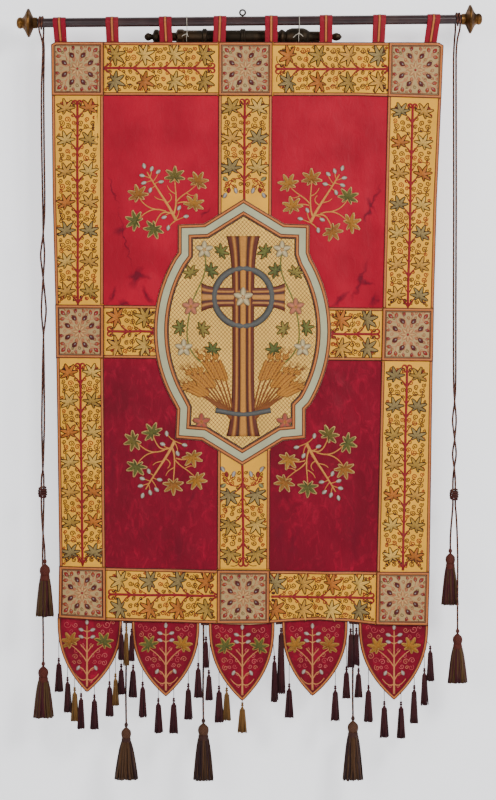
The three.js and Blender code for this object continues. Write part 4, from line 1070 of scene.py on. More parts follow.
def seam_path(seam, begin, end, kind, aside, step=6.0):
    """Points along a seam between two places, moved aside by a distance."""
    count = max(3, round(abs(end - begin) / step) + 1)
    at = np.linspace(begin, end, count)
    if kind == "upright":
        return np.stack([upright(seam, at) + aside, at], -1)
    return np.stack([at, level(seam, at) + aside], -1)


LOBE_TURNS = np.radians((0, 44, -44, 88, -88, 130, -130))
LOBE_REACH = np.array((1.0, 0.97, 0.97, 0.86, 0.86, 0.56, 0.56))
LOBE_TONES = np.array((1.0, 1.0, 1.0, 0.84, 0.84, 0.66, 0.66))
LEAF_RIM = 4.8


def leaves(heap, hearts, headings, sizes, fills, depth, edge=LEAF_EDGE, rows=6, lift=1.1):
    """Seven-lobed leaves: pointed lobes fan out from each heart, W sin(pi t^0.85)^0.9 wide at t of
    their length, each on a wider dark lobe that shows as its outline."""
    hearts, headings, sizes = (np.asarray(v, float) for v in (hearts, headings, sizes))
    n = len(hearts)
    t = np.linspace(0.02, 0.98, rows)
    turn = np.radians(headings)[:, None] + LOBE_TURNS
    reach = sizes[:, None] * LOBE_REACH
    bend = np.sign(LOBE_TURNS) * 0.22
    angle = turn[..., None] + bend[None, :, None] * (t - 0.5)
    x = hearts[:, None, None, 0] + reach[..., None] * t * np.cos(angle)
    z = hearts[:, None, None, 1] + reach[..., None] * t * np.sin(angle)
    paths = np.stack([x, z], -1).reshape(n * 7, rows, 2)
    width = (0.29 * reach[..., None] * (0.05 + np.sin(np.pi * t**0.85) ** 0.9)).reshape(n * 7, rows)
    fills = np.asarray(fills, float).reshape(n, 1, 1, 1, 3)
    shade = (0.84 + 0.24 * t)[None, None, :, None, None]
    side = np.array([0.7, 0.94, 0.98, 0.4, 1.04, 1.1, 0.7])[None, None, None, :, None]
    low = LOBE_TONES[None, :, None, None, None]
    tints = np.clip(fills * shade * side * low, 0, 1).reshape(n * 7, rows, 7, 3)
    grown = paths[:, :1] + (paths - paths[:, :1]) * 1.05
    ribbon(heap, grown, width + LEAF_RIM, lift * 0.5, depth, THREAD_ACROSS, THREAD_RISE, edge)
    ribbon(heap, paths, width, lift, depth, LOBE_ACROSS, LOBE_RISE, tints)


def drops(heap, hearts, headings, lengths, widths, fills, depth, edge=None, rows=6, lift=1.2):
    """Pointed ovals such as buds, seeds and petals: W sin(pi t)^0.7 wide along a short straight line."""
    hearts = np.asarray(hearts, float)
    n = len(hearts)
    t = np.linspace(0.03, 0.97, rows)
    turn = pointing(np.asarray(headings, float))[:, None]
    lengths = np.broadcast_to(np.asarray(lengths, float), (n,))[:, None]
    widths = np.broadcast_to(np.asarray(widths, float), (n,))[:, None]
    paths = hearts[:, None] + (lengths * (t - 0.5))[..., None] * turn
    width = widths * (0.08 + np.sin(np.pi * t) ** 0.7)
    fills = np.broadcast_to(np.asarray(fills, float), (n, 3)).reshape(n, 1, 1, 3)
    shade = (1.15 - 0.35 * t)[None, :, None, None]
    rim = fills * 0.55 if edge is None else np.asarray(edge, float)
    outline = np.array([1, 0.55, 0, 0.55, 1.0])[None, None, :, None]
    tints = np.clip(fills * shade, 0, 1) * (1 - outline) + rim * outline
    ribbon(heap, paths, width, lift, depth, DROP_ACROSS, DROP_RISE, tints)


def threads(heap, paths, width, tint, depth, lift=0.6):
    """Thin couched threads along flat paths."""
    ribbon(heap, paths, width, lift, depth, THREAD_ACROSS, THREAD_RISE, tint)


def stems(heap, paths, width, tint, depth, lift=1.2):
    """Padded stems along flat paths."""
    ribbon(heap, paths, width, lift, depth, STEM_ACROSS, STEM_RISE, tint)


NARROW_BAND = 41

# Curls between two leaves of a vine, in shares of the room to one side: place along, place
# aside, inner and outer radius, begin angle, turns.
CURLS = (
    (0.50, 0.06, 1.6, 8.5, 200, 1.5),
    (0.40, 0.40, 1.6, 10.5, 20, -1.6),
    (0.61, 0.45, 1.6, 9.5, 200, 1.5),
    (0.50, 0.80, 1.6, 10.5, 120, 1.6),
    (0.33, 0.88, 1.4, 7.5, 0, -1.4),
    (0.68, 0.90, 1.4, 7.5, 90, 1.4),
    (0.27, 0.04, 1.4, 6.5, 100, -1.3),
    (0.74, 0.10, 1.4, 6.5, 10, 1.3),
    (0.14, 0.98, 1.2, 5.5, 45, 1.2),
    (0.86, 1.00, 1.2, 5.5, 45, -1.2),
)


def vine(heap, start, end, rows, aside, depth, luck):
    """A thorny stem with a leaf on both sides at each row, stalks that curve to them, and curls
    between them."""
    start, end = np.array(start, float), np.array(end, float)
    length = np.linalg.norm(end - start)
    ahead = (end - start) / length
    side = sideways(ahead)
    heading = math.degrees(math.atan2(ahead[1], ahead[0]))
    at = lambda along, across: start + np.multiply.outer(along, ahead) + np.multiply.outer(across, side)
    stem = at(np.linspace(0, length - 8, 40), 0.6 * np.sin(np.linspace(0, 12, 40)))
    stems(heap, stem[None], 9.4, STEM_RED, depth, 1.5)
    hooks, thorns, stalks, hearts, headings = [], [], [], [], []
    for sign in (1, -1):
        hooks.append(spiral_hook(at, length - 16, sign))
        for row in rows:
            thorns.append(np.stack([at(row - 42 + o, sign * w) for o, w in ((0, 2.5), (6, 8.2), (15, 13))]))
            thorns.append(np.stack([at(row + 6 + o, sign * w) for o, w in ((0, 2.5), (5, 7.4), (12, 11))]))
            end_of = (row - 12, sign * (aside - 12))
            stalks.append((row - 52, 0, row - 30, sign * 3, row - 24, sign * 14, *end_of))
            hearts.append(at(row - 10, sign * (38 + 1.8 * (aside - NARROW_BAND))))
            headings.append(heading + sign * (14 + 10 * luck.random()))
    stems(heap, np.stack(hooks), np.linspace(8.4, 4.2, 14)[None], STEM_RED, depth, 1.3)
    stems(heap, np.stack(thorns), np.linspace(6.0, 1.2, 3)[None], STEM_RED, depth, 1.0)
    curve = bezier(stalks, 12)
    curve = start + curve[..., :1] * ahead + curve[..., 1:] * side
    t = np.linspace(0, 1, 12)[None, :, None, None]
    brown = STEM_RED * (1 - 0.4 * t) + LEAF_EDGE * 0.5 * t
    stems(heap, curve, np.linspace(6.0, 3.4, 12)[None], brown, depth, 1.2)
    count = len(hearts)
    fills = LEAF_FILLS[luck.integers(0, len(LEAF_FILLS), count)] * (0.86 + 0.24 * luck.random((count, 1)))
    size = min(37 + 1.6 * (aside - NARROW_BAND), 42.0)
    leaves(heap, hearts, headings, np.full(count, size), fills, depth - 0.3, lift=1.4)
    room_aside = min(55 + 3 * (aside - NARROW_BAND), 65)
    edges = [0.0, *[row - 3 for row in rows], length]
    curls = []
    for sign in (1, -1):
        for low, high in zip(edges[:-1], edges[1:]):
            room = high - low
            for along, across, inner, outer, begin, turns in CURLS:
                share = min(1.0, room / 100)
                if room < 45 and along > 0.5:
                    continue
                middle = (low + room * along, sign * (9 + room_aside * across))
                outer *= (0.6 + 0.4 * share) * (0.88 + 0.3 * luck.random())
                turn = spiral(middle, inner, outer, begin * sign + 60 * luck.random(), turns * sign, 14)
                curls.append(start + turn[:, :1] * ahead + turn[:, 1:] * side)
    curls = np.stack(curls)
    colours = SCROLL_TINTS[luck.integers(0, len(SCROLL_TINTS), len(curls))]
    threads(heap, curls, 4.3, colours[:, None, None], depth, 0.6)
    tendrils = []
    for sign in (1, -1):
        for row in rows:
            for curl in ((8, 4, 22, 14, 40, 18, 34, 44), (34, 44, 30, 62, 54, 52, 58, 62)):
                tendrils.append((np.reshape(curl, (4, 2)) * (1, sign) + (row, 0)).ravel())
    curve = bezier(tendrils, 14)
    curve = curve[(curve[..., 0] < length).all(1)]
    curve = start + curve[..., :1] * ahead + curve[..., 1:] * side
    threads(heap, curve, 3.7, SCROLL_BROWN, depth, 0.6)


def spiral_hook(at, along, sign):
    """The curl at a stem's end: out to one side and back on itself."""
    t = np.linspace(0, 1, 14)
    angle = np.pi * 1.2 * t
    return at(along + 5 + 8 * np.sin(angle), sign * (1 + 7.5 * (1 - np.cos(angle))))


def corner_buds(heap, start, up, depth):
    """Two curved twigs with a red bud and two silver ones, where a centre band meets the medallion."""
    rows = (
        (3, 66, 20, 84, 44, 76, 52, 48), (44, 70, 58, 66, 62, 52, 66, 44),
        (48, 60, 40, 50, 34, 46, 30, 44),
    )
    headings = np.array([-80, -60, -110, 40]) * up
    for sign in (1, -1):
        flips = np.array([sign, up])
        twigs = np.array(start) + bezier(rows, 10) * flips
        if sign * up < 0:
            twigs = twigs[:, ::-1]
        stems(heap, twigs, 3.6, STEM_RED, depth, 1.1)
        spots = np.array([(53, 36), (66, 18), (29, 34), (64, 74)]) * flips + start
        facing = headings if sign > 0 else 180 - headings
        fills = np.stack([paint(150, 20, 24), SILVER * 0.7, SILVER * 0.8, paint(150, 150, 96)])
        drops(heap, spots, facing, 22, 14, fills, depth - 0.3, edge=paint(96, 40, 24), lift=1.6)


def spray(heap, base, flip_x, flip_z, depth, luck):
    """A branching spray: twigs on cubic curves, seven-lobed leaves and silver-white buds."""
    flips = np.array([flip_x, flip_z])
    twigs = np.array(SPRAY_TWIGS, float)
    curve = np.array(base) + bezier(twigs, 14) * flips
    widths = np.linspace(twigs[:, 8], twigs[:, 9], 14).T
    if flip_x * flip_z < 0:
        curve, widths = curve[:, ::-1], widths[:, ::-1]
    stems(heap, curve, widths, TWIG_GOLD, depth, 1.5)

    def flipped(rows):
        """Places and headings of the spray's rows, in the quarter that this one grows into."""
        rows = np.array(rows, float)
        ahead = pointing(rows[:, 2]) * flips
        return np.array(base) + rows[:, :2] * flips, ahead, np.degrees(np.arctan2(ahead[:, 1], ahead[:, 0]))

    hearts, ahead, headings = flipped(SPRAY_LEAVES)
    fills = SPRAY_FILLS[luck.integers(0, len(SPRAY_FILLS), len(hearts))]
    sizes = np.full(len(hearts), 40.0)
    leaves(heap, hearts - 4 * ahead, headings, sizes, fills, depth - 0.4, edge=paint(248, 208, 124), lift=1.8)
    at, _, headings = flipped(SPRAY_BUDS)
    drops(heap, at, headings, 20.0, 14.0, SILVER * 0.86, depth - 0.4, edge=paint(120, 92, 50), lift=2.4)


def square_design(heap, left, right, top, foot, depth):
    """A fourfold design: a rosette, eight seeds round it, seeds in the corners and along the sides,
    curls, and a braid along the edge."""
    corners = corners_between(left, right, top, foot)
    turns = 90 * np.arange(4)

    def spread(points):
        """Points of the square from -1 to 1, put between its four corners."""
        u, v = (points[..., :1] + 1) / 2, (1 - points[..., 1:]) / 2
        upper = corners[0] + (corners[3] - corners[0]) * u
        lower = corners[1] + (corners[2] - corners[1]) * u
        flat = upper + (lower - upper) * v
        return np.stack(trimmed(flat[..., 0], flat[..., 1]), -1)

    def fourfold(points):
        """The points turned to all four quarters."""
        cos, sin = pointing(turns).T
        matrices = np.stack([cos, -sin, sin, cos], -1).reshape(4, 1, 1, 2, 2)
        points = np.asarray(points, float)
        return (matrices @ points[None, ..., None])[..., 0].reshape(-1, *points.shape[1:])

    cream, brown = paint(230, 178, 112), paint(110, 40, 24)
    rows = (
        (-0.22, 0.50, 128, 23, 17, paint(84, 8, 20), brown),
        (0.22, 0.50, 52, 23, 17, paint(84, 8, 20), brown),
        (0.69, 0.69, 45, 20, 14, paint(176, 36, 24), brown),
        (0.46, 0.72, 100, 18, 13, paint(190, 74, 36), brown),
        (0.72, 0.46, -10, 18, 13, paint(190, 74, 36), brown),
        (-0.16, 0.76, 70, 16, 11, paint(160, 30, 24), brown),
        (0.16, 0.76, 110, 14, 10, paint(196, 100, 60), brown),
    )
    for x, z, heading, long, wide, fill, rim in rows:
        spots = fourfold(np.array([[[x, z]]]))[:, 0]
        facing = heading + turns
        drops(heap, spread(spots), facing, long, wide, fill, depth, edge=rim, lift=1.6)
        glint = spread(spots - 0.035 * pointing(facing))
        drops(heap, glint, facing, long * 0.32, wide * 0.3, SILVER * 0.5, depth - 1.2, rows=4, lift=0.8)
    petals = np.arange(8) * 45
    for reach, long, wide, fill, rim, shift in (
        (0.19, 20, 12, cream, paint(160, 66, 40), 0),
        (0.36, 16, 10, paint(206, 130, 84), paint(150, 56, 36), 22.5),
    ):
        facing = petals + shift
        drops(heap, spread(reach * pointing(facing)), facing, long, wide, fill, depth, edge=rim, rows=5)
    drops(heap, spread(np.zeros((1, 2))), [0], 9, 9, paint(176, 44, 40), depth - 0.6, rows=5)
    arches = bezier(
        [
            (0, 0.30, 0.16, 0.40, 0.02, 0.62, 0.34, 0.84), (0, 0.30, -0.16, 0.40, -0.02, 0.62, -0.34, 0.84),
            (0.26, 0.26, 0.50, 0.34, 0.42, 0.60, 0.58, 0.84),
            (0.26, 0.26, 0.34, 0.50, 0.60, 0.42, 0.84, 0.58),
        ],
        14,
    )
    threads(heap, spread(fourfold(arches)), 3.0, paint(214, 134, 88), depth, 0.9)
    curls = np.stack([spiral((x, z), 0.02, r, b, t, 14) for x, z, r, b, t in (
        (0.0, 0.62, 0.075, -90, 1.3), (0.36, 0.36, 0.07, 200, -1.3), (0.60, 0.55, 0.06, -20, 1.3),
        (0.30, 0.62, 0.065, 40, 1.3), (0.56, 0.30, 0.07, 220, -1.2), (0.78, 0.20, 0.06, 220, 1.2),
        (0.32, 0.80, 0.05, 90, 1.2), (0.80, 0.60, 0.045, 90, -1.2), (0.60, 0.80, 0.045, 0, 1.2),
        (0.44, 0.14, 0.05, 90, 1.2), (0.42, -0.12, 0.05, -90, -1.2),
    )])
    shades = np.stack([paint(164, 70, 40), paint(104, 76, 40), paint(206, 116, 80)])
    curls = spread(fourfold(curls))
    threads(heap, curls, 2.8, shades[np.arange(len(curls)) % 3][:, None, None], depth, 0.6)
    box = np.array([[-1, 1], [-1, -1], [1, -1], [1, 1]], float)
    line = spread(edge_points(box * (1 - 13.8 / SQUARE_HALF), 12))
    ribbon(heap, line[None], 3.0, 0.9, depth, THREAD_ACROSS, THREAD_RISE, brown, True)
    lay_braid(heap, spread(edge_points(box * (1 - 6.0 / SQUARE_HALF), 15)), 12.4, depth, True)


def edge_points(corners, parts):
    """A closed outline whose sides are cut into equal parts."""
    t = (np.arange(parts) / parts)[None, :, None]
    after = np.roll(corners, -1, 0)
    return (corners[:, None] * (1 - t) + after[:, None] * t).reshape(-1, 2)


def side_arc(upper, lower, bulge, count=25):
    """Points on the circle through both ends that stands out by the bulge, without its ends."""
    upper, lower = np.array(upper, float), np.array(lower, float)
    chord = np.linalg.norm(upper - lower)
    radius = chord * chord / (8 * abs(bulge)) + abs(bulge) / 2
    outward = np.array([np.sign(bulge), 0.0])
    centre = (upper + lower) / 2 + outward * (abs(bulge) - radius)
    begin = math.atan2(upper[1] - centre[1], upper[0] - centre[0])
    finish = math.atan2(lower[1] - centre[1], lower[0] - centre[0])
    sweep = math.atan2(math.sin(finish - begin), math.cos(finish - begin))
    turn = begin + sweep * np.linspace(0, 1, count)[1:-1]
    return centre + radius * np.stack([np.cos(turn), np.sin(turn)], -1)


def medallion_outline():
    """Its corners from the upper point down the left side and up the right one, with arcs between
    the waists."""
    halves = []
    for column, sign in ((0, -1), (1, 1)):
        upper = [(row[column], row[2]) for row in MEDALLION_UPPER]
        lower = [(row[column], row[2]) for row in MEDALLION_LOWER]
        arc = side_arc(upper[2], lower[0], sign * MEDALLION_BULGE)
        halves.append(np.concatenate([upper, arc, lower]))
    return np.concatenate([[MEDALLION_TOP], halves[0], [MEDALLION_FOOT], halves[1][::-1]])


def refined(outline, inner, step):
    """Both outlines cut alike, so that points across the frame still face each other."""
    after, after_in = np.roll(outline, -1, 0), np.roll(inner, -1, 0)
    outer_rows, inner_rows = [], []
    for a, b, c, d in zip(outline, after, inner, after_in):
        parts = max(1, round(np.linalg.norm(b - a) / step))
        t = (np.arange(parts) / parts)[:, None]
        outer_rows.append(a + (b - a) * t)
        inner_rows.append(c + (d - c) * t)
    return np.concatenate(outer_rows), np.concatenate(inner_rows)


def inside(outline, x, z):
    """True where a point is within a closed outline: a level line from it crosses an odd number of
    its sides."""
    a, b = outline, np.roll(outline, -1, 0)
    x, z = x[..., None], z[..., None]
    spans = (a[:, 1] > z) != (b[:, 1] > z)
    rise = np.where(np.abs(b[:, 1] - a[:, 1]) < 1e-9, 1e-9, b[:, 1] - a[:, 1])
    at = a[:, 0] + (z - a[:, 1]) / rise * (b[:, 0] - a[:, 0])
    return (np.sum(spans & (x < at), -1) % 2) == 1


LATTICE_REACH, LATTICE_STEP, LATTICE_PITCH, LATTICE_TURN = 700, 13.0, 9.8, 48


def lattice(heap, outline, depth):
    """Crossed diagonal threads over the field: straight lines cut where they leave the outline."""
    along = np.arange(-LATTICE_REACH, LATTICE_REACH, LATTICE_STEP)[None, :, None]
    offsets = np.arange(-LATTICE_REACH, LATTICE_REACH, LATTICE_PITCH)[:, None, None]
    for turn in (LATTICE_TURN, -LATTICE_TURN):
        ahead = pointing(turn)
        lines = np.array([0, MEDALLION_MIDDLE]) + offsets * sideways(ahead) + along * ahead
        for row, kept in zip(lines, inside(outline, lines[..., 0], lines[..., 1])):
            change = np.flatnonzero(np.diff(np.concatenate([[0], kept.astype(int), [0]])))
            for begin, end in zip(change[::2], change[1::2]):
                if end - begin > 1:
                    threads(heap, row[None, begin:end], 2.2, paint(164, 88, 38), depth, 0.7)


def wheat(heap, base, reach, turn, bend, depth):
    """An ear of wheat: a bent stalk with paired grains and a beard at its tip."""
    t = np.linspace(0, 1, 22)
    headings = turn + math.degrees(bend) * t * t
    ahead = pointing(headings)
    stalk = np.array(base) + np.cumsum(ahead * reach / 22, 0)
    stems(heap, stalk[None], np.linspace(7.5, 4.4, 22)[None], paint(140, 78, 30), depth, 1.4)
    grains = np.linspace(14, 21, 7).astype(int)
    gold, drawn = paint(214, 140, 44), {"edge": paint(92, 38, 12), "rows": 5, "lift": 1.8}
    for sign in (1, -1):
        spots = stalk[grains] + sideways(ahead[grains]) * sign * 5.4
        drops(heap, spots, headings[grains] + sign * 24, 20, 11, gold, depth - 0.5, **drawn)
    drops(heap, stalk[-1:] + 8 * ahead[-1:], headings[-1:], 20, 9, gold, depth - 0.5, **drawn)
    tip = stalk[-1] + 12 * ahead[-1]
    out = np.linspace(0, 26, 5)[:, None]
    beard = np.stack([tip + out * pointing(headings[-1] + spread) for spread in (-22, -10, 0, 10, 22)])
    threads(heap, beard, 1.8, paint(150, 94, 40), depth, 0.6)


def rosette(heap, middle, size, depth, fill, heart):
    """Five broad petals round a heart of small knots."""
    turns = 90 + 72 * np.arange(5)
    spots = np.array(middle) + size * 0.52 * pointing(turns)
    drops(heap, spots, turns, size, size * 0.62, fill, depth, edge=paint(120, 100, 74), rows=8, lift=2.0)
    knots = 36 + 72 * np.arange(5)
    drops(heap, np.array(middle) + size * 0.16 * pointing(knots), knots, 6, 5, heart, depth - 1.4, rows=4)


CROSS_X, CROSS_Z = 2, -968


def mirrored(points):
    """The points and their mirror images about the cross."""
    points = np.array(points, float)
    return np.concatenate([points, points * (-1, 1) + (2 * CROSS_X, 0)])


def medallion_design(heap, depth):
    """A broad fluted cross with a ring, two sheaves of wheat at its foot, rosettes and leaves on
    winding stems."""
    dark, brown, gold = paint(66, 24, 18), paint(104, 42, 26), paint(214, 142, 58)
    flute = [dark, brown, brown, gold, brown, dark, gold]
    flutes = np.array([*flute, gold, *flute[::-1]])
    across = np.linspace(-1, 1, 15)
    rise = np.array([0, 0.7, 1, 0.9, 0.7, 0.6, 0.9, 1, 0.9, 0.6, 0.7, 0.9, 1, 0.7, 0])
    beams = (((CROSS_X, -760), (CROSS_X, -1440), 76, 2.4), ((-140, CROSS_Z), (144, CROSS_Z), 66, 2.0))
    for begin, end, wide, lift in beams:
        t = np.linspace(0, 1, 46)[:, None]
        path = np.array(begin) * (1 - t) + np.array(end) * t
        flare = 1 + 0.55 * np.abs(2 * t[:, 0] - 1) ** 5
        ribbon(heap, path[None], wide * flare[None], lift, depth, across, rise, flutes)
    ring = spiral((CROSS_X, CROSS_Z), 98, 98, 0, 1, 57)[:-1]
    # The ring's greys, also used on the wheat's tie band: painted highlight along the crown and painted shade
    # at both edges.
    grey = paint(80, 80, 76)
    tints = np.array([grey * 0.5, grey, grey * 1.5, grey, grey * 0.5])
    ribbon(heap, ring[None], 24, 2.8, depth, STEM_ACROSS, STEM_RISE, tints, True)
    rosette(heap, (CROSS_X, CROSS_Z), 34, depth - 2.4, paint(230, 206, 150), paint(190, 110, 30))
    for sign in (-1, 1):
        for i in range(9):
            foot = (CROSS_X + sign * (26 + 3 * i), -1410 + 5 * i)
            reach = 250 - 13 * i + 16 * (i % 3)
            wheat(heap, foot, reach, 90 - sign * (9 + i * 5.2), -sign * 0.34, depth - 0.2 * (i % 3))
    band = np.array([(-92, -1352), (2, -1366), (96, -1352)], float)
    ribbon(heap, dense(band, 6)[None], 20, 4.0, depth, STEM_ACROSS, STEM_RISE, tints)
    winding = (
        (-96, -1216, -215, -1160, -190, -1080, -178, -1010),
        (-178, -1010, -160, -930, -110, -900, -130, -818),
    )
    winding = mirrored(np.reshape(winding, (2, 4, 2))).reshape(4, 8)
    stems(heap, bezier(winding, 40), 5.4, paint(112, 116, 52), depth, 1.4)
    spots = mirrored([(-130, -806), (-176, -1000), (-200, -1140), (-140, -1392)])
    fills = (paint(230, 206, 150), paint(214, 120, 84), paint(230, 206, 150), paint(190, 76, 56)) * 2
    for spot, fill in zip(spots, fills):
        rosette(heap, spot, 31, depth - 0.6, fill, paint(206, 140, 50))
    hearts = mirrored([(-76, -816), (-174, -888), (-112, -880), (-208, -1072), (-140, -1078), (-104, -1150)])
    headings = np.array([40, 120, 30, 170, 20, 60])
    headings = np.concatenate([headings, 180 - headings])
    fills = np.array([paint(122, 124, 52), paint(160, 140, 60), paint(104, 112, 50)])[np.arange(12) % 3]
    leaves(heap, hearts, headings, np.full(12, 32.0), fills, depth - 0.3, edge=paint(70, 66, 24), lift=1.4)


def scallop_top(row):
    """Height of the hem where the scallop comes out from behind it."""
    return max(float(level(HEM, row[0])), float(level(HEM, row[1])))


def scallop_side(row, corner, down):
    """x and z of one side at shares of the way down: it closes as 1 - s^2.5 to the point."""
    tip, foot = row[2:]
    top = scallop_top(row)
    return tip + (corner - tip) * (1 - down**SCALLOP_CURVE), top + (foot - top) * down


def scallop_edges(row, high, rows):
    """Left and right x and the height of each row of a scallop, from above the hem down to the point."""
    left, right, tip, foot = row
    top = scallop_top(row)
    t = np.linspace(0, 1, rows)
    down = 1 - (1 - np.where(t < SCALLOP_HIDDEN, 0, (t - SCALLOP_HIDDEN) / (1 - SCALLOP_HIDDEN))) ** 1.35
    z = np.where(t < SCALLOP_HIDDEN, high + (top - high) * t / SCALLOP_HIDDEN, top + (foot - top) * down)
    share = np.maximum(1 - down**SCALLOP_CURVE, 0.004)
    return tip + (left - tip) * share, tip + (right - tip) * share, z


def scallop_rim(row, inset, count=34):
    """The scallop's edge as one open path, from its left top corner round the point to the right one."""
    down = np.linspace(0, 1, count) ** 0.75
    one, two = (np.stack(scallop_side(row, corner, down), -1) for corner in row[:2])
    path = even(np.concatenate([one, two[-2::-1]]), 5.0)
    return path + mitres(path[None], False)[0] * inset


def scallop_design(heap, row, depth, luck):
    """A stem from the point up to a bud, silver buds in pairs, a leaf on both sides and pink curls
    over the ground."""
    tip, foot = row[2:]
    top = scallop_top(row)
    origin = np.array([tip, top])
    gold = paint(222, 146, 84)
    t = np.linspace(0, 1, 20)
    stem = np.stack([tip + 0 * t, foot + 20 + t * (top - foot - 46)], -1)
    stems(heap, stem[None], np.linspace(8.0, 3.8, 20)[None], gold, depth, 1.5)
    twigs = [
        (0, z0, sign * x1, z1, sign * x2, z2, sign * x3, z3)
        for z0, x1, z1, x2, z2, x3, z3 in (
            (-150, 14, -128, 26, -112, 56, -92), (-196, 12, -170, 26, -160, 34, -176),
            (-118, 8, -104, 16, -98, 22, -90), (-72, 6, -66, 12, -66, 18, -66),
            (-48, 6, -44, 12, -42, 18, -42), (-206, 8, -214, 22, -216, 40, -190),
        )
        for sign in (-1, 1)
    ]
    stems(heap, bezier(twigs, 12) + origin, np.linspace(4.6, 2.8, 12)[None], gold, depth, 1.2)
    buds = np.array([
        (0, -14, 90), (-20, -40, 160), (20, -40, 20), (-20, -64, 160), (20, -64, 20),
        (-30, -170, 240), (30, -170, 300),
    ])
    spots = buds[:, :2] + origin
    drops(heap, spots, buds[:, 2], 19, 13, SILVER * 0.8, depth - 0.4, edge=paint(150, 96, 70), lift=2.2)
    hearts = np.array([(-55, -84), (55, -84)]) + origin
    fills = SPRAY_FILLS[luck.integers(0, 3, 2)]
    leaves(heap, hearts, (118, 62), (37, 37), fills, depth - 0.4, edge=paint(224, 174, 84), lift=1.6)
    curls = []
    for x, z, r, begin, turns in (
        (68, -22, 11, 180, 1.3), (40, -24, 8, 0, -1.3), (84, -44, 8, 90, 1.3), (88, -16, 7, 200, -1.2),
        (80, -112, 10, 90, 1.4), (62, -128, 9, 200, -1.4), (40, -132, 9, 0, 1.4), (84, -134, 7, 30, 1.2),
        (58, -152, 9, 60, -1.4), (26, -148, 7, 200, 1.3), (62, -172, 7, 90, 1.3), (16, -176, 5, 0, 1.2),
        (46, -198, 6, 60, 1.2), (74, -92, 6, 30, -1.2), (36, -112, 7, 100, -1.3), (14, -216, 5, 0, 1.2),
        (52, -46, 8, 200, 1.3), (16, -94, 6, 90, 1.2), (98, -66, 7, 40, 1.2), (96, -92, 7, 80, -1.2),
        (44, -152, 6, 0, 1.2), (76, -150, 7, 60, 1.2), (18, -128, 6, 100, -1.2), (30, -212, 6, 20, 1.3),
    ):
        for sign in (1, -1):
            size = r * (1.1 + 0.2 * luck.random())
            turned = begin if sign > 0 else 180 - begin
            curls.append(spiral((tip + sign * x, top + z), 1.4, size, turned, turns * sign, 16))
    curls = np.stack(curls)
    sides = [scallop_side(row, corner, np.linspace(1, 0, 40)) for corner in row[:2]]
    left, right = (np.interp(curls[..., 1], z, x) for x, z in sides)
    keep = ((curls[..., 0] > left + CURL_MARGIN) & (curls[..., 0] < right - CURL_MARGIN)).all(1)
    shades = np.stack([paint(226, 110, 104), paint(206, 76, 80), paint(214, 128, 92)])
    kept = curls[keep]
    threads(heap, kept, 2.5, shades[np.arange(len(kept)) % 3][:, None, None], depth, 0.7)


# Cords and tassels

def rod_height(x):
    return -ROD_DROP + ROD_RISE * x


def wrap(start, side, begin, end):
    """Turns round the rod from one angle to another; 0 is its front and 90 its top."""
    radius = (ROD_RADIUS + WRAP_GAP + CORD_RADIUS) / math.cos(math.pi / WRAP_STEPS)
    count = round(abs(end - begin) / 360 * WRAP_STEPS) + 1
    turn = np.linspace(begin, end, count)
    x = start - side * WRAP_PITCH * turn / 360
    angle = np.radians(turn)
    return np.stack([x, -radius * np.cos(angle), rod_height(x) + radius * np.sin(angle)], -1)


def half_of(rows, half):
    """One half of a hanging pair: each station gives their middle, their distance and the turn of
    the front one."""
    rows = np.array(rows, float)
    parts = [rows[:1]]
    for before, after in zip(rows[:-1], rows[1:]):
        count = max(1, math.ceil(abs(after[3] - before[3]) / PAIR_TURN_STEP))
        share = (np.arange(count) + 1)[:, None] / count
        parts.append(before + (after - before) * share)
    z, x, apart, turn = np.concatenate(parts).T
    angle = np.radians(turn)
    return np.stack([x + half * apart * np.cos(angle), half * apart * np.sin(angle), z], -1)


def rope(name, points, node, cord_tint, step=2.2):
    """A twisted cord of three strands along its route, which goes on inside its tassel's head."""
    path = dense(points, step)
    heap = Heap()
    turn = np.arange(CORD_SIDES)[::-1] * 2 * np.pi / CORD_SIDES
    travelled = np.arange(len(path))[:, None] * step
    phase = (turn - travelled * 2 * np.pi / CORD_PITCH) * CORD_STRANDS / 2
    # Painted shade in the grooves: each strand is darker towards its sides, where it meets the next.
    tone = (0.62 + 0.5 * np.cos(phase) ** 2)[None, ..., None]
    pale = (np.floor(phase / np.pi) % CORD_STRANDS == 0)[None, ..., None]
    tints = np.clip(np.where(pale, paint(128, 76, 52), cord_tint) * tone, 0, 1)
    tubes(heap, path[None], CORD_RADIUS, CORD_SIDES, tints, lobes=CORD_STRANDS, pitch=CORD_PITCH, groove=0.24)
    made = heap.piece(name, "cord", [node])
    return made


def skirt(heap, at, root, foot, high, low, count, tints, luck, spread_power=0.75, sides=4, rows=6):
    """Locks of yarn that hang from a collar: each strand swings out from root to foot by a power of
    its fall, with a little wander."""
    layer = np.sqrt(luck.random(count))
    turn = np.arange(count) * GOLDEN_TURN
    t = np.linspace(0, 1, rows)[None, :]
    fall = (high - low) * (1 - 0.06 * luck.random((count, 1)))
    out = root * 0.94 * layer[:, None] + (foot - root) * layer[:, None] * t**spread_power
    sway = 0.08 * np.sin(t * 5 + 6 * luck.random((count, 1))) * t
    angle = turn[:, None] + sway
    x = at[0] + out * np.cos(angle)
    y = at[1] + out * np.sin(angle) * 0.94
    z = high - fall * t
    radius = (foot * 1.15 / math.sqrt(count) + 0.35) * (1 - 0.25 * t) + 0 * out
    tubes(heap, np.stack([x, y, z], -1), radius, sides, tints)


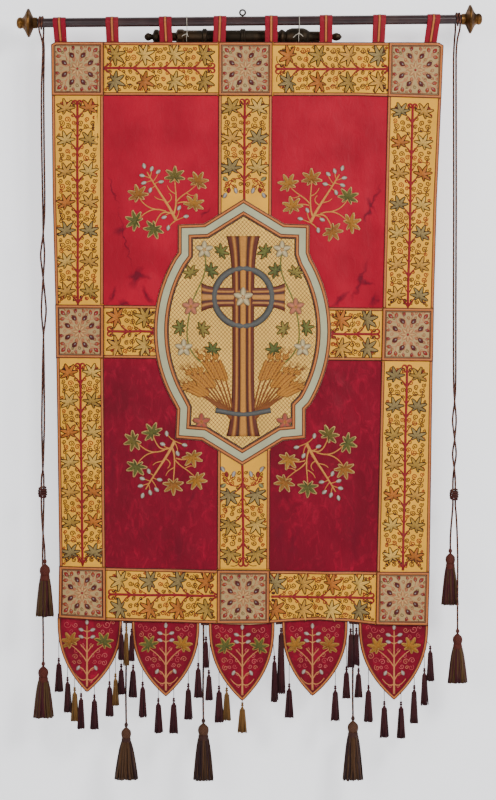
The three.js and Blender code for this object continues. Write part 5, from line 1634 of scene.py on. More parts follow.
def large_tassel(name, at, head, wide, fall, tints_of, luck):
    """A bead, a netted ball, a ribbed collar and a skirt of strands in two colours, fused in one piece."""
    x, y, z = at
    ball = z - 20 - head
    collar = ball - head * 0.92
    foot = collar - 18
    heap = Heap()
    head_tint, collar_tint, main, second = tints_of
    bead_t = np.linspace(0, 1, 12)
    bead = np.stack([2.6 + 4.2 * np.sin(np.pi * bead_t) ** 0.8, z - 17 * bead_t], -1)
    lathe(heap, bead[::-1], 20, collar_tint, DOWN, (x, y, 0))
    rows, sides = 28, 42
    t = np.linspace(0, 1, rows)
    height = (z - 16) + (collar - (z - 16)) * t
    wide_at = (2.8, 0.52 * head, 0.9 * head, head, 0.88 * head, 0.78 * head)
    shape = np.interp(t, (0, 0.14, 0.34, 0.62, 0.86, 1.0), wide_at)
    turn = np.arange(sides) * 2 * np.pi / sides
    net = np.maximum(
        np.abs(np.cos(turn * 6 + t[:, None] * 13)) ** 5, np.abs(np.cos(turn * 6 - t[:, None] * 13)) ** 5,
    )
    radius = shape[:, None] * (0.965 + 0.05 * net)
    ring = np.stack([x + radius * np.cos(turn), y + radius * np.sin(turn), height[:, None] + 0 * turn], -1)
    # Painted shade in the gaps of the net: the head is darker between the net's threads.
    tone = head_tint * (0.55 + 0.6 * net)[..., None]
    runs = np.stack(np.broadcast_arrays(height[:, None], turn * 9, radius), -1)
    loops(heap, ring[None, ::-1], np.clip(tone, 0, 1)[None, ::-1], runs[None, ::-1])
    rib_t = np.linspace(0, 1, 25)
    ribs = 0.86 * head + 0.06 * head * np.abs(np.sin(rib_t * np.pi * 5)) + 0.05 * head * rib_t
    ribs = np.stack([ribs, collar + (foot - collar) * rib_t], -1)
    lathe(heap, ribs[::-1], 36, collar_tint, DOWN, (x, y, 0))
    count = 200
    share = luck.random(count)
    lock = np.floor(np.arange(count) * GOLDEN_TURN / (2 * np.pi) * 9) % 2
    tone = np.where((lock > 0)[:, None], main, second) * (0.75 + 0.5 * share[:, None])
    tone = np.clip(tone, 0, 1)[:, None, None]
    skirt(heap, (x, y), head * 0.9, wide * 1.04, foot + 6, foot - fall + 1, count, tone, luck)
    # Painted shade: a dark core inside the skirt that shows between the strands.
    shade_core = np.stack([(head * 0.7, wide * 0.62), (foot, foot - fall + 12)], -1)
    lathe(heap, shade_core[::-1], 20, np.minimum(main, second) * 0.6, DOWN, (x, y, 0))
    return heap.piece(name + "_yarn", "yarn", [name])


def hanging_tassels(name, rows, roots, luck):
    """The small tassels of one fringe: two beads on a thread, a wound head and a skirt of fine
    strands each."""
    heap = Heap()
    yarns = settings()[1]
    for (x, top, foot, radius, front, gold), root in zip(rows, roots):
        tint = np.array(yarns.old_gold if gold else yarns.maroon)
        y = root[1] - front
        hang = np.array([x, y, top])
        thread = dense([root, (root + hang) / 2 + np.array([0, -0.5, 0.5]), hang, hang - [0, 0, 12]], 4)
        tubes(heap, thread[None], 1.1, 6, tint * 0.7, reference=(0.4, 0.9, 0.1))
        t = np.linspace(0, 1, 7)
        for middle, size in ((top - 4, 4.4), (top - 11, 5.0)):
            bead = np.stack([0.3 + size * np.sin(np.pi * t) ** 0.8, middle + size - 2 * size * t], -1)
            lathe(heap, bead[::-1], 10, tint * 0.95, DOWN, (x, y, 0))
        neck, cap = top - 14, top - 28
        t = np.linspace(0, 1, 10)
        head = np.stack([1.2 + (radius * 0.62) * t**0.7 + 0.35 * np.sin(t * 22), neck + (cap - neck) * t], -1)
        lathe(heap, head[::-1], 14, tint * 1.05, DOWN, (x, y, 0))
        count = 40
        tone = np.clip(tint * (0.7 + 0.6 * luck.random((count, 1))), 0, 1)[:, None, None]
        skirt(heap, (x, y), radius * 0.66, radius * 1.42, cap + 3, foot + 1, count, tone, luck, 1.0, 3, 4)
    return heap.piece(name, "yarn")


# Operators

class BannerOperator:
    bl_options = {"REGISTER", "UNDO"}


# Metres, the middle of the view.
CAMERA_X, CAMERA_Z = 0.0184, -1.317


class BANNER_OT_camera(BannerOperator, bpy.types.Operator):
    """Places the camera straight in front of the banner, as a long lens sees it"""

    bl_idname = "banner.camera"
    bl_label = "Camera"

    def execute(self, context):
        studio = settings()[3]
        data = bpy.data.cameras.new("camera")
        data.lens = studio.lens
        data.sensor_width = 36
        data.clip_end = 100
        camera = bpy.data.objects.new("camera", data)
        camera.location = (CAMERA_X, -studio.distance, CAMERA_Z)
        camera.rotation_euler = (math.radians(90), 0, 0)
        context.scene.collection.objects.link(camera)
        context.scene.camera = camera
        return {"FINISHED"}


class BANNER_OT_materials(BannerOperator, bpy.types.Operator):
    """Makes the shader groups and the finishes that all pieces share"""

    bl_idname = "banner.materials"
    bl_label = "Materials"

    def execute(self, context):
        cloths, _, fittings, _ = settings()
        GROUPS.update(weave=weave_group(), stitch=stitch_group(), age=age_group(), grain=grain_group())
        MATERIALS.update(
            # Its last two colours are the painted sheen of the streaks and the painted shade of the creases.
            satin=satin("red satin", cloths.upper_red, cloths.lower_red, (186, 6, 52), (112, 0, 30)),
            tab=laid_ground("tab satin", linear(148, 0, 34), 500.0, 0.5, 0.1, 0.08),
            ground=laid_ground("gold band ground", cloths.gold_ground, 300.0),
            sage=laid_ground("sage ground", cloths.sage, 380.0, 0.7),
            field=laid_ground("medallion ground", cloths.field, 300.0, 0.65),
            border=laid_ground("grey-green border", cloths.border, 420.0, 0.6, 0.1, 0.2),
            braid=stitched("couched braid", 1.6, 1.0, 0.5),
            thread=stitched("embroidery silk", 4.0, 0.5, 0.45),
            yarn=stitched("tassel yarn", 2.2, 0.4, 0.7, 0.08),
            cord=stitched("twisted cord", 2.6, 1.4, 0.7, 0.15),
            string=stitched("white string", 5.0, 0.8, 0.8),
            wood=wood("dark wood", fittings.wood, fittings.wood_dark),
            brass=old_metal("old brass", fittings.brass, linear(70, 48, 30), 0.42),
            bronze=old_metal("dark bronze", fittings.bronze, linear(40, 34, 26), 0.42, 0.85, 9.0),
            iron=old_metal("iron", fittings.iron, linear(44, 40, 38), 0.5, 0.9, 60.0),
        )
        return {"FINISHED"}


class BANNER_OT_cords(BannerOperator, bpy.types.Operator):
    """Twists the side cords with their knots and tassels, and the cords below the hem"""

    bl_idname = "banner.cords"
    bl_label = "Cords and tassels"

    def execute(self, context):
        luck = np.random.default_rng(SEED)
        yarns = settings()[1]
        tints = (yarns.cord, yarns.maroon, yarns.old_gold, yarns.head)
        cord, maroon, gold, head = (np.array(tint) for tint in tints)
        tones = (head, head * 0.9, maroon * 1.1, gold * 0.42)
        for name, at, size, wide, fall in TASSELS:
            large_tassel(name, at, size, wide, fall, tones, luck)
        routes = (
            ("left", -1, -691, LEFT_PAIR, LEFT_FRONT_END, LEFT_BACK_END),
            ("right", 1, 738, RIGHT_PAIR, RIGHT_FRONT_END, RIGHT_BACK_END),
        )
        for side, sign, start, rows, front_end, back_end in routes:
            knot = self.knot(side, rows, cord)
            over = wrap(start, sign, WRAP_START - WRAP_SPLIT, 0)
            under = wrap(start, sign, WRAP_START + WRAP_SPLIT, 540)
            front = np.concatenate([over, half_of(rows, 1), front_end])
            back = np.concatenate([under, half_of(rows, -1), back_end])
            for part, points, tassel in (("front", front, "upper"), ("back", back, "lower")):
                hidden = points[-1] - CORD_TAIL
                rope(
                    f"{side}_rope_{part}", np.concatenate([points, hidden]), f"{side}_cord_{part}", cord,
                )
        for name, x, end, size, wide, fall in HEM_CORDS:
            self.hem_cord(name, x, end, size, wide, fall, cord, luck)
        return {"FINISHED"}

    def knot(self, side, rows, tint):
        """An overhand knot drawn tight: turns of the cord round both halves, leaning as they go round."""
        z, x, apart, _ = rows[-1]
        middle = (z + rows[-2][0]) / 2
        t = np.linspace(0, 1, KNOT_STEPS)
        turn = 2 * np.pi * KNOT_TURNS * t
        swell = 0.86 + 0.22 * np.sin(np.pi * t)
        wide = (apart + CORD_RADIUS + 4.6) * swell
        deep = (CORD_RADIUS + 5.2) * swell
        height = middle + KNOT_HIGH * (0.5 - t) + 3.2 * np.sin(turn)
        path = even(np.stack([x + wide * np.cos(turn), deep * np.sin(turn), height], -1), 1.9)
        tint = np.clip(tint * 1.1, 0, 1)
        heap = Heap()
        tubes(heap, path[None], CORD_RADIUS * 1.02, 10, tint, (0, 0, 1), CORD_STRANDS, CORD_PITCH, 0.24)
        return heap.piece(f"{side}_knot_turns", "cord", [f"{side}_knot"])

    def hem_cord(self, name, x, end, size, wide, fall, tint, luck):
        """A cord that hangs from behind the hem, with a tassel of its own colours."""
        low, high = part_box(f"{name}_cord")
        y = (low.y + high.y) / 2 / MM
        top = high.z / MM
        points = np.array([[x + math.sin(i * 1.3) * 0.8, y, top + (end - top) * i / 5] for i in range(6)])
        at = (points[-1][0], y, end - 0.35)
        olive = (paint(96, 58, 36), paint(66, 34, 26), paint(80, 50, 24), paint(46, 14, 16))
        tassel = large_tassel(f"{name}_tassel", at, size, wide, fall, olive, luck)
        hidden = points[-1] - CORD_TAIL
        route = np.concatenate([points, hidden])
        rope(f"{name}_rope", route, f"{name}_cord", tint * 0.8)


class BANNER_OT_cloths(BannerOperator, bpy.types.Operator):
    """Hangs the red ground cloth, the bands, the squares and the medallion as thin sheets on the folds"""

    bl_idname = "banner.cloths"
    bl_label = "Cloths"

    def execute(self, context):
        x, z = patch(LEFT_EDGE, RIGHT_EDGE, TOP_EDGE, HEM, 13.5)
        grid_piece(
            "red_cloth_sheet", x, z, GROUND_LEVEL, GROUND_CLOTH,
            "satin", "ground_cloth",
        )
        bands = (
            ("left_column", LEFT_EDGE, LEFT_COLUMN, TOP_EDGE, HEM, (0.180, 1.965)),
            ("right_column", RIGHT_COLUMN, RIGHT_EDGE, TOP_EDGE, HEM, (0.187, 1.984)),
            ("top_band", LEFT_COLUMN, RIGHT_COLUMN, TOP_EDGE, TOP_BAND, (0.968, 0.185)),
            ("foot_band", LEFT_COLUMN, RIGHT_COLUMN, FOOT_BAND, HEM, (0.920, 0.184)),
            ("centre_band_upper", CENTRE_LEFT, CENTRE_RIGHT, TOP_BAND, UPPER_HIDDEN, (0.184, 0.42)),
            ("centre_band_lower", CENTRE_LEFT, CENTRE_RIGHT, LOWER_HIDDEN, FOOT_BAND, (0.180, 0.42)),
            ("middle_band_left", LEFT_COLUMN, LEFT_HIDDEN, MIDDLE_UPPER, MIDDLE_LOWER, (0.207, 0.182)),
            ("middle_band_right", RIGHT_HIDDEN, RIGHT_COLUMN, MIDDLE_UPPER, MIDDLE_LOWER, (0.208, 0.182)),
        )
        for name, left, right, top, foot, flat in bands:
            x, z = patch(left, right, top, foot, 10.5, 0.4)
            grid_piece(
                f"{name}_sheet", x, z, BAND_LEVEL, BAND_CLOTH, "ground", name,
            )
        for name, left, right, top, foot in squares():
            x, z = patch(left, right, top, foot, 9.0, 0.5)
            grid_piece(
                f"{name}_sheet", x, z, PATCH_LEVEL, BAND_CLOTH, "sage", name,
            )
        self.medallion()
        return {"FINISHED"}

    def medallion(self):
        outline = medallion_outline()
        inner = inset_loop(outline, FRAME_WIDTH)
        outer_rows, inner_rows = refined(outline, inner, 9.0)
        u = np.linspace(0, 1, 6)[None, :, None]
        ring = inner_rows[:, None] * (1 - u) + outer_rows[:, None] * u
        ring = ring[:, ::-1]
        x, z = ring[..., 0], ring[..., 1]
        front = np.stack([x, lie(x, z) + PATCH_LEVEL, z], -1)
        back = front[:, ::-1] + np.array([0, BAND_CLOTH, 0])
        points = np.concatenate([front, back], 1)[None]
        heap = Heap()
        loops(heap, points[:, :, ::-1], np.ones(3), points[:, :, ::-1], True)
        border = heap.piece("medallion_border_sheet", "border", ["medallion_border"])
        half = len(outline) // 2
        left, right = outline[: half + 1], np.concatenate([outline[half:], outline[:1]])[::-1]
        heights = np.unique(np.concatenate([left[:, 1], right[:, 1], np.arange(-1536, -636, 9.0)]))[::-1]
        heights = np.clip(heights, MEDALLION_FOOT[1] + 1.2, MEDALLION_TOP[1] - 1.2)
        x_left = np.interp(-heights, -left[:, 1], left[:, 0]) + 0.6
        x_right = np.interp(-heights, -right[:, 1], right[:, 0]) - 0.6
        u = np.linspace(0, 1, 56)[None, :]
        x = x_left[:, None] + (x_right - x_left)[:, None] * u
        z = heights[:, None] + 0 * u
        keep = np.concatenate([[True], np.diff(heights) < -0.05])
        grid_piece(
            "medallion_field_sheet", x[keep], z[keep], BAND_LEVEL, BAND_CLOTH, "field",
            "medallion_field",
        )


def squares():
    """Name and the four seams of each square."""
    return (
        ("square_top_left", LEFT_EDGE, LEFT_COLUMN, TOP_EDGE, TOP_BAND),
        ("square_top_centre", CENTRE_LEFT, CENTRE_RIGHT, TOP_EDGE, TOP_BAND),
        ("square_top_right", RIGHT_COLUMN, RIGHT_EDGE, TOP_EDGE, TOP_BAND),
        ("square_middle_left", LEFT_EDGE, LEFT_COLUMN, MIDDLE_UPPER, MIDDLE_LOWER),
        ("square_middle_right", RIGHT_COLUMN, RIGHT_EDGE, MIDDLE_UPPER, MIDDLE_LOWER),
        ("square_foot_left", LEFT_EDGE, LEFT_COLUMN, FOOT_BAND, HEM),
        ("square_foot_centre", CENTRE_LEFT, CENTRE_RIGHT, FOOT_BAND, HEM),
        ("square_foot_right", RIGHT_COLUMN, RIGHT_EDGE, FOOT_BAND, HEM),
    )


class BANNER_OT_embroidery(BannerOperator, bpy.types.Operator):
    """Sews the vines, the squares' designs, the sprays, the medallion's design and all braids"""

    bl_idname = "banner.embroidery"
    bl_label = "Embroidery"

    def execute(self, context):
        luck = np.random.default_rng(SEED + 1)
        for name, start, end, rows, aside in VINES:
            heap = Heap()
            vine(heap, start, end, rows, aside, BAND_LEVEL, luck)
            if name.startswith("centre"):
                corner_buds(heap, start, np.sign(end[1] - start[1]), BAND_LEVEL)
            heap.piece(f"{name}_vine", "thread")
        for name, left, right, top, foot in squares():
            heap = Heap()
            square_design(heap, left, right, top, foot, PATCH_LEVEL)
            heap.piece(f"{name}_design", "thread")
        heap = Heap()
        for x, z, flip_x, flip_z in SPRAYS:
            spray(heap, (x, z), flip_x, flip_z, GROUND_LEVEL, luck)
        heap.piece("panel_sprays", "thread")
        outline = medallion_outline()
        inner = inset_loop(outline, FRAME_WIDTH)
        heap = Heap()
        lattice(heap, inner, BAND_LEVEL)
        heap.piece("medallion_lattice", "thread")
        heap = Heap()
        medallion_design(heap, BAND_LEVEL)
        heap.piece("medallion_design", "thread")
        self.braids(outline)
        return {"FINISHED"}

    def braids(self, outline):
        heap = Heap()
        for distance in (6.6, FRAME_WIDTH - 6.6):
            lay_braid(heap, refined(outline, inset_loop(outline, distance), 6.0)[1], 13.0, PATCH_LEVEL, True)
        line = refined(outline, inset_loop(outline, FRAME_WIDTH + 1.6), 6.0)[1]
        ribbon(heap, line[None], 4.4, 1.2, BAND_LEVEL, STEM_ACROSS, STEM_RISE, paint(76, 28, 14), True)
        heap.piece("medallion_braid", "braid")
        heap = Heap()
        wide, half = 12.0, 6.2
        columns = (
            (LEFT_EDGE, half, -283, -992), (LEFT_EDGE, half, -1174, -1882),
            (LEFT_COLUMN, -half, -284, -992), (LEFT_COLUMN, -half, -1176, -1884),
            (RIGHT_COLUMN, half, -287, -1003), (RIGHT_COLUMN, half, -1186, -1900),
            (RIGHT_EDGE, -half, -293, -1004), (RIGHT_EDGE, -half, -1186, -1901),
            (CENTRE_LEFT, half, -284, -690), (CENTRE_RIGHT, -half, -284, -695),
            (CENTRE_LEFT, half, -1486, -1892), (CENTRE_RIGHT, -half, -1488, -1893),
        )
        for seam, aside, begin, end in columns:
            lay_braid(heap, seam_path(seam, begin, end, "upright", aside), wide, BAND_LEVEL)
        rows = (
            (TOP_EDGE, -half, -471, -84), (TOP_EDGE, -half, 104, 495), (TOP_BAND, half, -471, -84),
            (TOP_BAND, half, 104, 495), (FOOT_BAND, -half, -466, -88), (FOOT_BAND, -half, 93, 454),
            (HEM, half, -464, -89), (HEM, half, 92, 451), (MIDDLE_UPPER, -half, -471, -292),
            (MIDDLE_UPPER, -half, 292, 474), (MIDDLE_LOWER, half, -471, -291), (MIDDLE_LOWER, half, 291, 472),
        )
        for seam, aside, begin, end in rows:
            lay_braid(heap, seam_path(seam, begin, end, "level", aside), wide, BAND_LEVEL)
        # Painted shade: thin dark lines along two creases, over the upper left square and down the left
        # column.
        for x, low in ((-588, -321), (-494, -436)):
            for above, below, depth in ((-120, -275, PATCH_LEVEL), (-285, low, BAND_LEVEL)):
                at = np.linspace(above, below, 36)
                crease_shade_line = np.stack([x + 0.8 * np.sin(at / 19), at], -1)
                ribbon(heap, crease_shade_line[None], 2.2, 0.4, depth, THREAD_ACROSS, THREAD_RISE, DARK_EDGE)
        heap.piece("band_braid", "braid")


class BANNER_OT_scallops(BannerOperator, bpy.types.Operator):
    """Sews the five scallops with their designs, their braids and their small tassels"""

    bl_idname = "banner.scallops"
    bl_label = "Scallops and fringes"

    def execute(self, context):
        luck = np.random.default_rng(SEED + 2)
        for i, row in enumerate(SCALLOPS):
            left, right, tip, foot = row
            top = scallop_top(row)
            x_left, x_right, z = scallop_edges(row, top + SCALLOP_TUCK, 34)
            u = np.linspace(0, 1, 27)[None, :]
            x = x_left[:, None] + (x_right - x_left)[:, None] * u
            z = z[:, None] + 0 * u
            name = f"scallop_{i + 1}"
            wide, high = right - left, top + SCALLOP_TUCK - foot
            grid_piece(
                f"{name}_sheet", x, z, SCALLOP_LEVEL, SCALLOP_CLOTH, "satin", name,
            )
            heap = Heap()
            scallop_design(heap, row, SCALLOP_LEVEL, luck)
            heap.piece(f"{name}_design", "thread")
            heap = Heap()
            rim = scallop_rim(row, FRINGE_BRAID / 2 - 1)
            # The braid's colours have a painted highlight along its crown.
            ribbon(
                heap, rim[None], FRINGE_BRAID, 2.2, FRINGE_LEVEL + 2.2, BRAID_ACROSS, BRAID_RISE, BRAID_TINTS
            )
            if RUN_REACH[i]:
                at = np.linspace(left - RUN_REACH[i], left + 4, 8)
                run = np.stack([at, level(HEM, at) - 3.0], -1)
                dark = paint(70, 24, 20)
                ribbon(heap, run[None], 7.5, 1.8, FRINGE_LEVEL + 2.0, STEM_ACROSS, STEM_RISE, dark)
            heap.piece(f"fringe_{i + 1}_braid", "braid", [f"fringe_{i + 1}"])
            tassels = FRINGES[i]
            roots = []
            for x, high, _, _, _, _ in tassels:
                held = min(max(x, left + 4), right - 4) if x >= left else x
                corner = left if held < tip else right
                out = min(max((held - tip) / (corner - tip), 0), 0.985)
                edge = top + (foot - top) * (1 - out) ** (1 / SCALLOP_CURVE)
                below = float(level(HEM, held)) - 3
                root_z = min(max(edge + 3, high + 4), below) if x >= left else below - 2
                roots.append(np.array([held, float(lie(held, root_z)) + FRINGE_LEVEL + 1.0, root_z]))
            hanging_tassels(f"fringe_{i + 1}_tassels", tassels, roots, luck)
        return {"FINISHED"}


class BANNER_OT_tabs(BannerOperator, bpy.types.Operator):
    """Loops the eight tabs over the rod, each with a gold stripe"""

    bl_idname = "banner.tabs"
    bl_label = "Tabs"

    def execute(self, context):
        for i, (at_rod, at_cloth) in enumerate(TABS):
            self.tab(f"tab_{i + 1}", at_rod, at_cloth, i)
        return {"FINISHED"}

    def tab(self, name, at_rod, at_cloth, number):
        """The strap's line in y and z is two legs that touch a circle round the rod; it leans from
        rod to banner."""
        middle = rod_height(at_rod)
        edge = float(level(TOP_EDGE, at_cloth))
        radius = ROD_RADIUS + 1.0 + TAB_CLOTH / 2
        legs = (3.8, 5.55)
        feet = [np.array([y, edge + 3]) for y in legs]
        turns = []
        for foot, sign in zip(feet, (-1, 1)):
            out = foot - (0, middle)
            turns.append(math.atan2(out[1], out[0]) + sign * math.acos(radius / np.linalg.norm(out)))
        begin, end = turns
        while begin < end:
            begin += 2 * math.pi
        while begin - end > 2 * math.pi:
            begin -= 2 * math.pi
        turn = np.linspace(begin, end, 26)
        arc = np.stack([radius * np.cos(turn), middle + radius * np.sin(turn)], -1)
        front = np.array([[legs[0], edge - TAB_TAIL], feet[0]])
        back = np.array([feet[1], [legs[1], edge - TAB_TAIL]])
        path = even(np.concatenate([front, arc, back]), 3.5)
        ahead = np.gradient(path, axis=0)
        ahead /= np.linalg.norm(ahead, axis=1, keepdims=True)
        out = np.stack([ahead[:, 1], -ahead[:, 0]], -1)
        if (out * (path - np.array([0, middle]))).sum() < 0:
            out = -out
        share = np.clip((middle - path[:, 1]) / (middle - edge), 0, 1)
        centre = at_rod + (at_cloth - at_rod) * share

        def sheet_of(across, lift, thick, crown=0.0):
            across = np.asarray(across, float)
            ripple = 0.35 * np.sin(across / TAB_WIDTH * 9 + number)[None, :] * np.sin(share * 3.1)[:, None]
            rise = lift + crown * (1 - (across / np.abs(across).max()) ** 2)[None, :] + ripple
            x = centre[:, None] + across[None, :]
            faces = []
            for depth in (rise, rise - thick):
                y = path[:, None, 0] + out[:, None, 0] * depth
                z = path[:, None, 1] + out[:, None, 1] * depth
                faces.append(np.stack([x, y, z], -1))
            return faces

        heap = Heap()
        across = np.linspace(-TAB_WIDTH / 2, TAB_WIDTH / 2, 15)
        front_face, back_face = sheet_of(across, TAB_CLOTH / 2, TAB_CLOTH)
        slab(heap, front_face[::-1], 0, np.ones(3), back_face[::-1])
        made = heap.piece(f"{name}_strap", "tab", [name])
        heap = Heap()
        # The stripe's colours have a painted highlight along its middle.
        stripe = np.array([-5.4, -4.0, -2.8, 0, 2.8, 4.0, 5.4])
        front_face, back_face = sheet_of(stripe, TAB_CLOTH / 2 + 0.5, 0.7, 0.4)
        keep = slice(8, -8)
        slab(heap, front_face[::-1][keep], 0, STRIPE_TINTS, back_face[::-1][keep])
        braid = heap.piece(f"{name}_stripe", "braid")


STRING_RADIUS, STRING_GAP = 1.15, 0.75
FINIAL = (
    (0, 0), (17.6, 0), (19.6, 2.5), (18.2, 6), (20, 9.5), (18.6, 13), (24, 16), (47.6, 26.6),
    (49, 30), (47.6, 33.6), (26, 44), (20, 48.5), (17.4, 52), (19.8, 56), (20, 60), (17.4, 66),
    (11, 70.4), (0, 72),
)
STAFF = (
    (0, -337), (8, -333), (13, -327), (14, -322), (10.5, -314), (8.6, -308), (20, -304), (25.5, -300),
    (25.5, -289),
    (20, -283.5), (15, -280), (15, -228), (24, -224), (26.5, -221), (26.5, -204), (24, -200.5), (22.8, -198),
    (22.8, -138), (27, -136), (29, -133), (27, -129.5), (29, -127), (27, -123.5), (22.8, -121), (22.8, -8),
    (26.5, -6.5), (28.5, -3), (26.4, 0.6), (28.5, 4.6), (26.4, 8.4), (22.8, 10), (22.8, 113), (19, 120),
    (18, 123), (24, 129), (26, 134), (24, 139), (18, 146), (24, 152), (30, 168), (30, 208), (25, 220),
    (19, 228), (19, 262),
    (12, 266), (8, 269), (8, 305), (12, 312), (14, 321), (10, 333), (0, 340),
)


class BANNER_OT_fittings(BannerOperator, bpy.types.Operator):
    """Turns the rod, its finials, the staff behind it and the hanging eye, and ties the strings"""

    bl_idname = "banner.fittings"
    bl_label = "Rod, staff and strings"

    def execute(self, context):
        tilt = math.atan(ROD_RISE)
        cos, sin = math.cos(tilt), math.sin(tilt)
        lean = np.array([[cos, 0, -sin], [0, 1, 0], [sin, 0, cos]])
        white = np.ones(3)
        heap = Heap()
        middle = (ROD_LEFT + ROD_RIGHT) / 2
        half = (ROD_RIGHT - ROD_LEFT) / 2
        rod = rounded(((0, -half), (ROD_RADIUS, -half), (ROD_RADIUS, half), (0, half)), 1.5)
        lathe(heap, rod, 48, white, lean @ RIGHTWARD, (middle, 0, rod_height(middle)))
        heap.piece("rod_turned", "wood", ["rod"])
        for name, x, matrix in (("left", ROD_LEFT - 0.35, LEFTWARD), ("right", ROD_RIGHT + 0.35, RIGHTWARD)):
            heap = Heap()
            lathe(heap, rounded(FINIAL, 1.4), 44, white, lean @ matrix, (x, 0, rod_height(x)))
            heap.piece(f"finial_{name}_turned", "brass", [f"finial_{name}"])
        heap = Heap()
        lathe(heap, rounded(STAFF, 1.2), 28, white, RIGHTWARD, (0, STAFF_BACK, -STAFF_DROP))
        heap.piece("staff_turned", "bronze", ["staff"])
        heap = Heap()
        turn = np.linspace(0, 2 * np.pi, 41)[:-1]
        ring = np.stack([EYE_RADIUS * np.sin(turn), 0 * turn, EYE_RADIUS * np.cos(turn)], -1)
        self.closed_ring(heap, ring, EYE_WIRE)
        point = -EYE_RADIUS - EYE_SHANK
        shank = (
            (0, point), (EYE_WIRE * 0.8, point), (EYE_WIRE, -EYE_RADIUS - 3), (EYE_WIRE, -EYE_RADIUS + 1),
            (0, -EYE_RADIUS + 2),
        )
        lathe(heap, rounded(shank, 0.6), 16, white, DOWN, (0, 0, 0))
        heap.piece("hanging_eye_forged", "iron", ["hanging_eye"])
        self.string("string_left", -190, 22.8, ((-207, 6, -80),))
        self.string("string_right", 192, 30, ((172, 5, -84), (206, 6, -80)))
        return {"FINISHED"}

    def closed_ring(self, heap, ring, wire):
        """The eye: a round wire bent to a circle across the rod."""
        sides = np.arange(16) * 2 * np.pi / 16
        outward = ring / np.linalg.norm(ring, axis=1, keepdims=True)
        back = np.array([0.0, 1.0, 0.0])
        points = ring[:, None] + wire * (
            np.cos(sides)[None, :, None] * outward[:, None] + np.sin(sides)[None, :, None] * back
        )
        loops(heap, points[None], np.ones(3), points[None], True)

    def string(self, name, x, staff_radius, tails):
        """A thin string: from one tail's end to the knot, round rod and staff, and out again to the
        other tail."""
        rod = np.array([0.0, rod_height(x)])
        staff = np.array([STAFF_BACK, -STAFF_DROP], float)
        a, b = ROD_RADIUS + STRING_GAP + STRING_RADIUS, staff_radius + STRING_GAP + STRING_RADIUS
        apart = np.linalg.norm(staff - rod)
        heading = math.atan2(staff[1] - rod[1], staff[0] - rod[0])
        away = math.acos((a - b) / apart)
        facing = np.array([math.cos(heading - away), math.sin(heading - away)])
        touch = [rod + a * facing, staff + b * facing]
        knot = touch[0] + (touch[1] - touch[0]) * 0.6
        over = np.linspace(heading - away, heading + away - 2 * math.pi, 24)
        under = np.linspace(heading + away, heading - away, 24)
        line = np.concatenate([
            [knot], rod + a * np.stack([np.cos(over), np.sin(over)], -1),
            staff + b * np.stack([np.cos(under), np.sin(under)], -1), [knot],
        ])
        loop = np.concatenate([x + np.linspace(0.9, -0.9, len(line))[:, None], line], -1)
        loop[0] += (0, -1.5, 1.0)
        loop[-1] += (0, -1.5, -1.0)
        first = np.array(tails[0], float)
        last = np.array(tails[1], float) if len(tails) > 1 else np.array([x + 5, knot[0] - 4, knot[1] - 9])
        sag = np.array([0, -3, 2])
        inward, outward = (first + loop[0]) / 2 + sag, (last + loop[-1]) / 2 + sag
        path = even(np.stack([first, inward, *loop, outward, last]), 1.6)
        heap = Heap()
        tint = np.array(settings()[1].string)
        tubes(heap, path[None], STRING_RADIUS, 8, tint, (0.93, 0.31, 0.2), 2, 6.0, 0.2)
        t = np.linspace(0, 1, 9)
        ball = np.stack([0.1 + 3.4 * np.sin(np.pi * t), knot[1] + 3.6 - 7.2 * t], -1)
        made = heap.piece(f"{name}_tied", "string", [name])
        heap = Heap()
        lathe(heap, ball[::-1], 12, tint * 0.92, DOWN, (x, knot[0] - 1.2, 0))
        drawn = heap.piece(f"{name}_knot", "string")


WALL_REACH, WALL_TOP, FLOOR_Z = 2.6, 1.6, -2.95
FLOOR_CORNERS = ((-6, -9), (6, -9), (6, 3), (-6, 3))
LIGHT_AIM = (0, 0, -1.2)


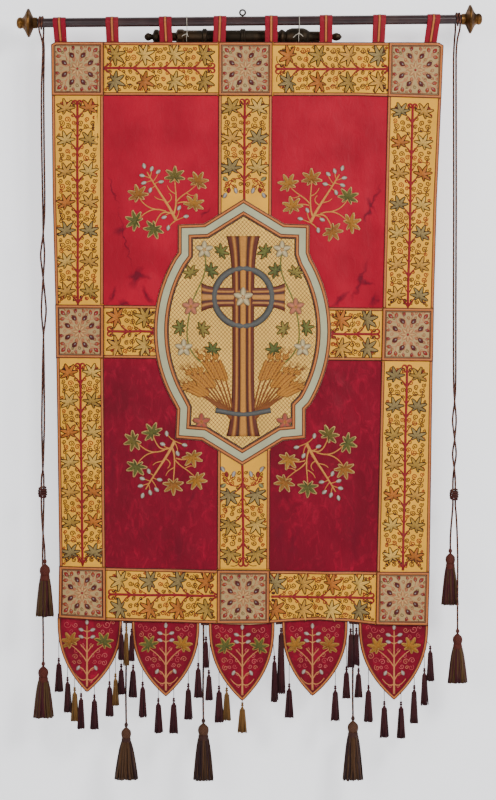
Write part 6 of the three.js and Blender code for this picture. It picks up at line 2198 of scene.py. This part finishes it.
class BANNER_OT_stage(BannerOperator, bpy.types.Operator):
    """Sets a pale floor and backdrop, and soft light from the upper right"""

    bl_idname = "banner.stage"
    bl_label = "Stage and light"

    def execute(self, context):
        studio = settings()[3]
        wall_paint = plain_stage("lit wall paint", linear(250, 250, 252), 1.0)
        floor_paint = plain_stage("pale floor paint", linear(243, 244, 247), 0.0)
        gap = studio.wall_gap
        wide = WALL_REACH
        sides = ((-wide, FLOOR_Z), (wide, FLOOR_Z), (wide, WALL_TOP), (-wide, WALL_TOP))
        for name, paint_of, corners in (
            ("backdrop", wall_paint, [(x, gap, z) for x, z in sides]),
            ("floor", floor_paint, [(x, y, FLOOR_Z) for x, y in FLOOR_CORNERS]),
        ):
            mesh = bpy.data.meshes.new(name)
            mesh.from_pydata(corners, [], [(0, 1, 2, 3)])
            mesh.materials.append(paint_of)
            made = bpy.data.objects.new(name, mesh)
            context.scene.collection.objects.link(made)
        lights = (
            ("key light", (3.0, -4.2, 1.3), 1.5, studio.key),
            ("fill light", (-4.0, -6.5, 0.4), 4.0, studio.key * 0.75),
            ("back light", (1.0, 6.5, 1.5), 4.0, studio.key * 0.8),
        )
        for name, at, size, power in lights:
            data = bpy.data.lights.new(name, "AREA")
            data.size = size
            data.energy = power
            light = bpy.data.objects.new(name, data)
            light.location = at
            aim = np.array(LIGHT_AIM) - np.array(at)
            light.rotation_euler = (
                math.acos(-aim[2] / np.linalg.norm(aim)), 0, math.atan2(aim[1], aim[0]) - math.pi / 2,
            )
            context.scene.collection.objects.link(light)
        world = bpy.data.worlds.new("soft room light")
        world.use_nodes = True
        background = world.node_tree.nodes["Background"]
        background.inputs["Color"].default_value = (0.94, 0.96, 1.0, 1)
        background.inputs["Strength"].default_value = 0.4
        context.scene.world = world
        return {"FINISHED"}


class BANNER_PT_panel(bpy.types.Panel):
    bl_idname = "BANNER_PT_panel"
    bl_label = "Church banner"
    bl_space_type = "VIEW_3D"
    bl_region_type = "UI"
    bl_category = "Banner"

    def draw(self, context):
        for groups in settings():
            box = self.layout.box()
            for key in groups.bl_rna.properties.keys():
                if key not in ("rna_type", "name"):
                    box.prop(groups, key)
        for operator in OPERATORS:
            self.layout.operator(operator.bl_idname)


OPERATORS = (
    BANNER_OT_camera, BANNER_OT_materials, BANNER_OT_cords, BANNER_OT_stage, BANNER_OT_cloths,
    BANNER_OT_embroidery, BANNER_OT_scallops, BANNER_OT_tabs, BANNER_OT_fittings,
)
GROUP_CLASSES = (BannerCloths, BannerYarns, BannerFittings, BannerStudio)
POINTERS = ("banner_cloths", "banner_yarns", "banner_fittings", "banner_studio")


def register():
    for made in (*GROUP_CLASSES, *OPERATORS, BANNER_PT_panel):
        bpy.utils.register_class(made)
    for key, made in zip(POINTERS, GROUP_CLASSES):
        setattr(bpy.types.Scene, key, bpy.props.PointerProperty(type=made))


def unregister():
    for key in POINTERS:
        delattr(bpy.types.Scene, key)
    for made in (BANNER_PT_panel, *OPERATORS[::-1], *GROUP_CLASSES[::-1]):
        bpy.utils.unregister_class(made)


def main():
    register()
    for operator in OPERATORS:
        getattr(bpy.ops.banner, operator.bl_idname.split(".")[1])()
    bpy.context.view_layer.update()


if __name__ == "__main__":
    main()
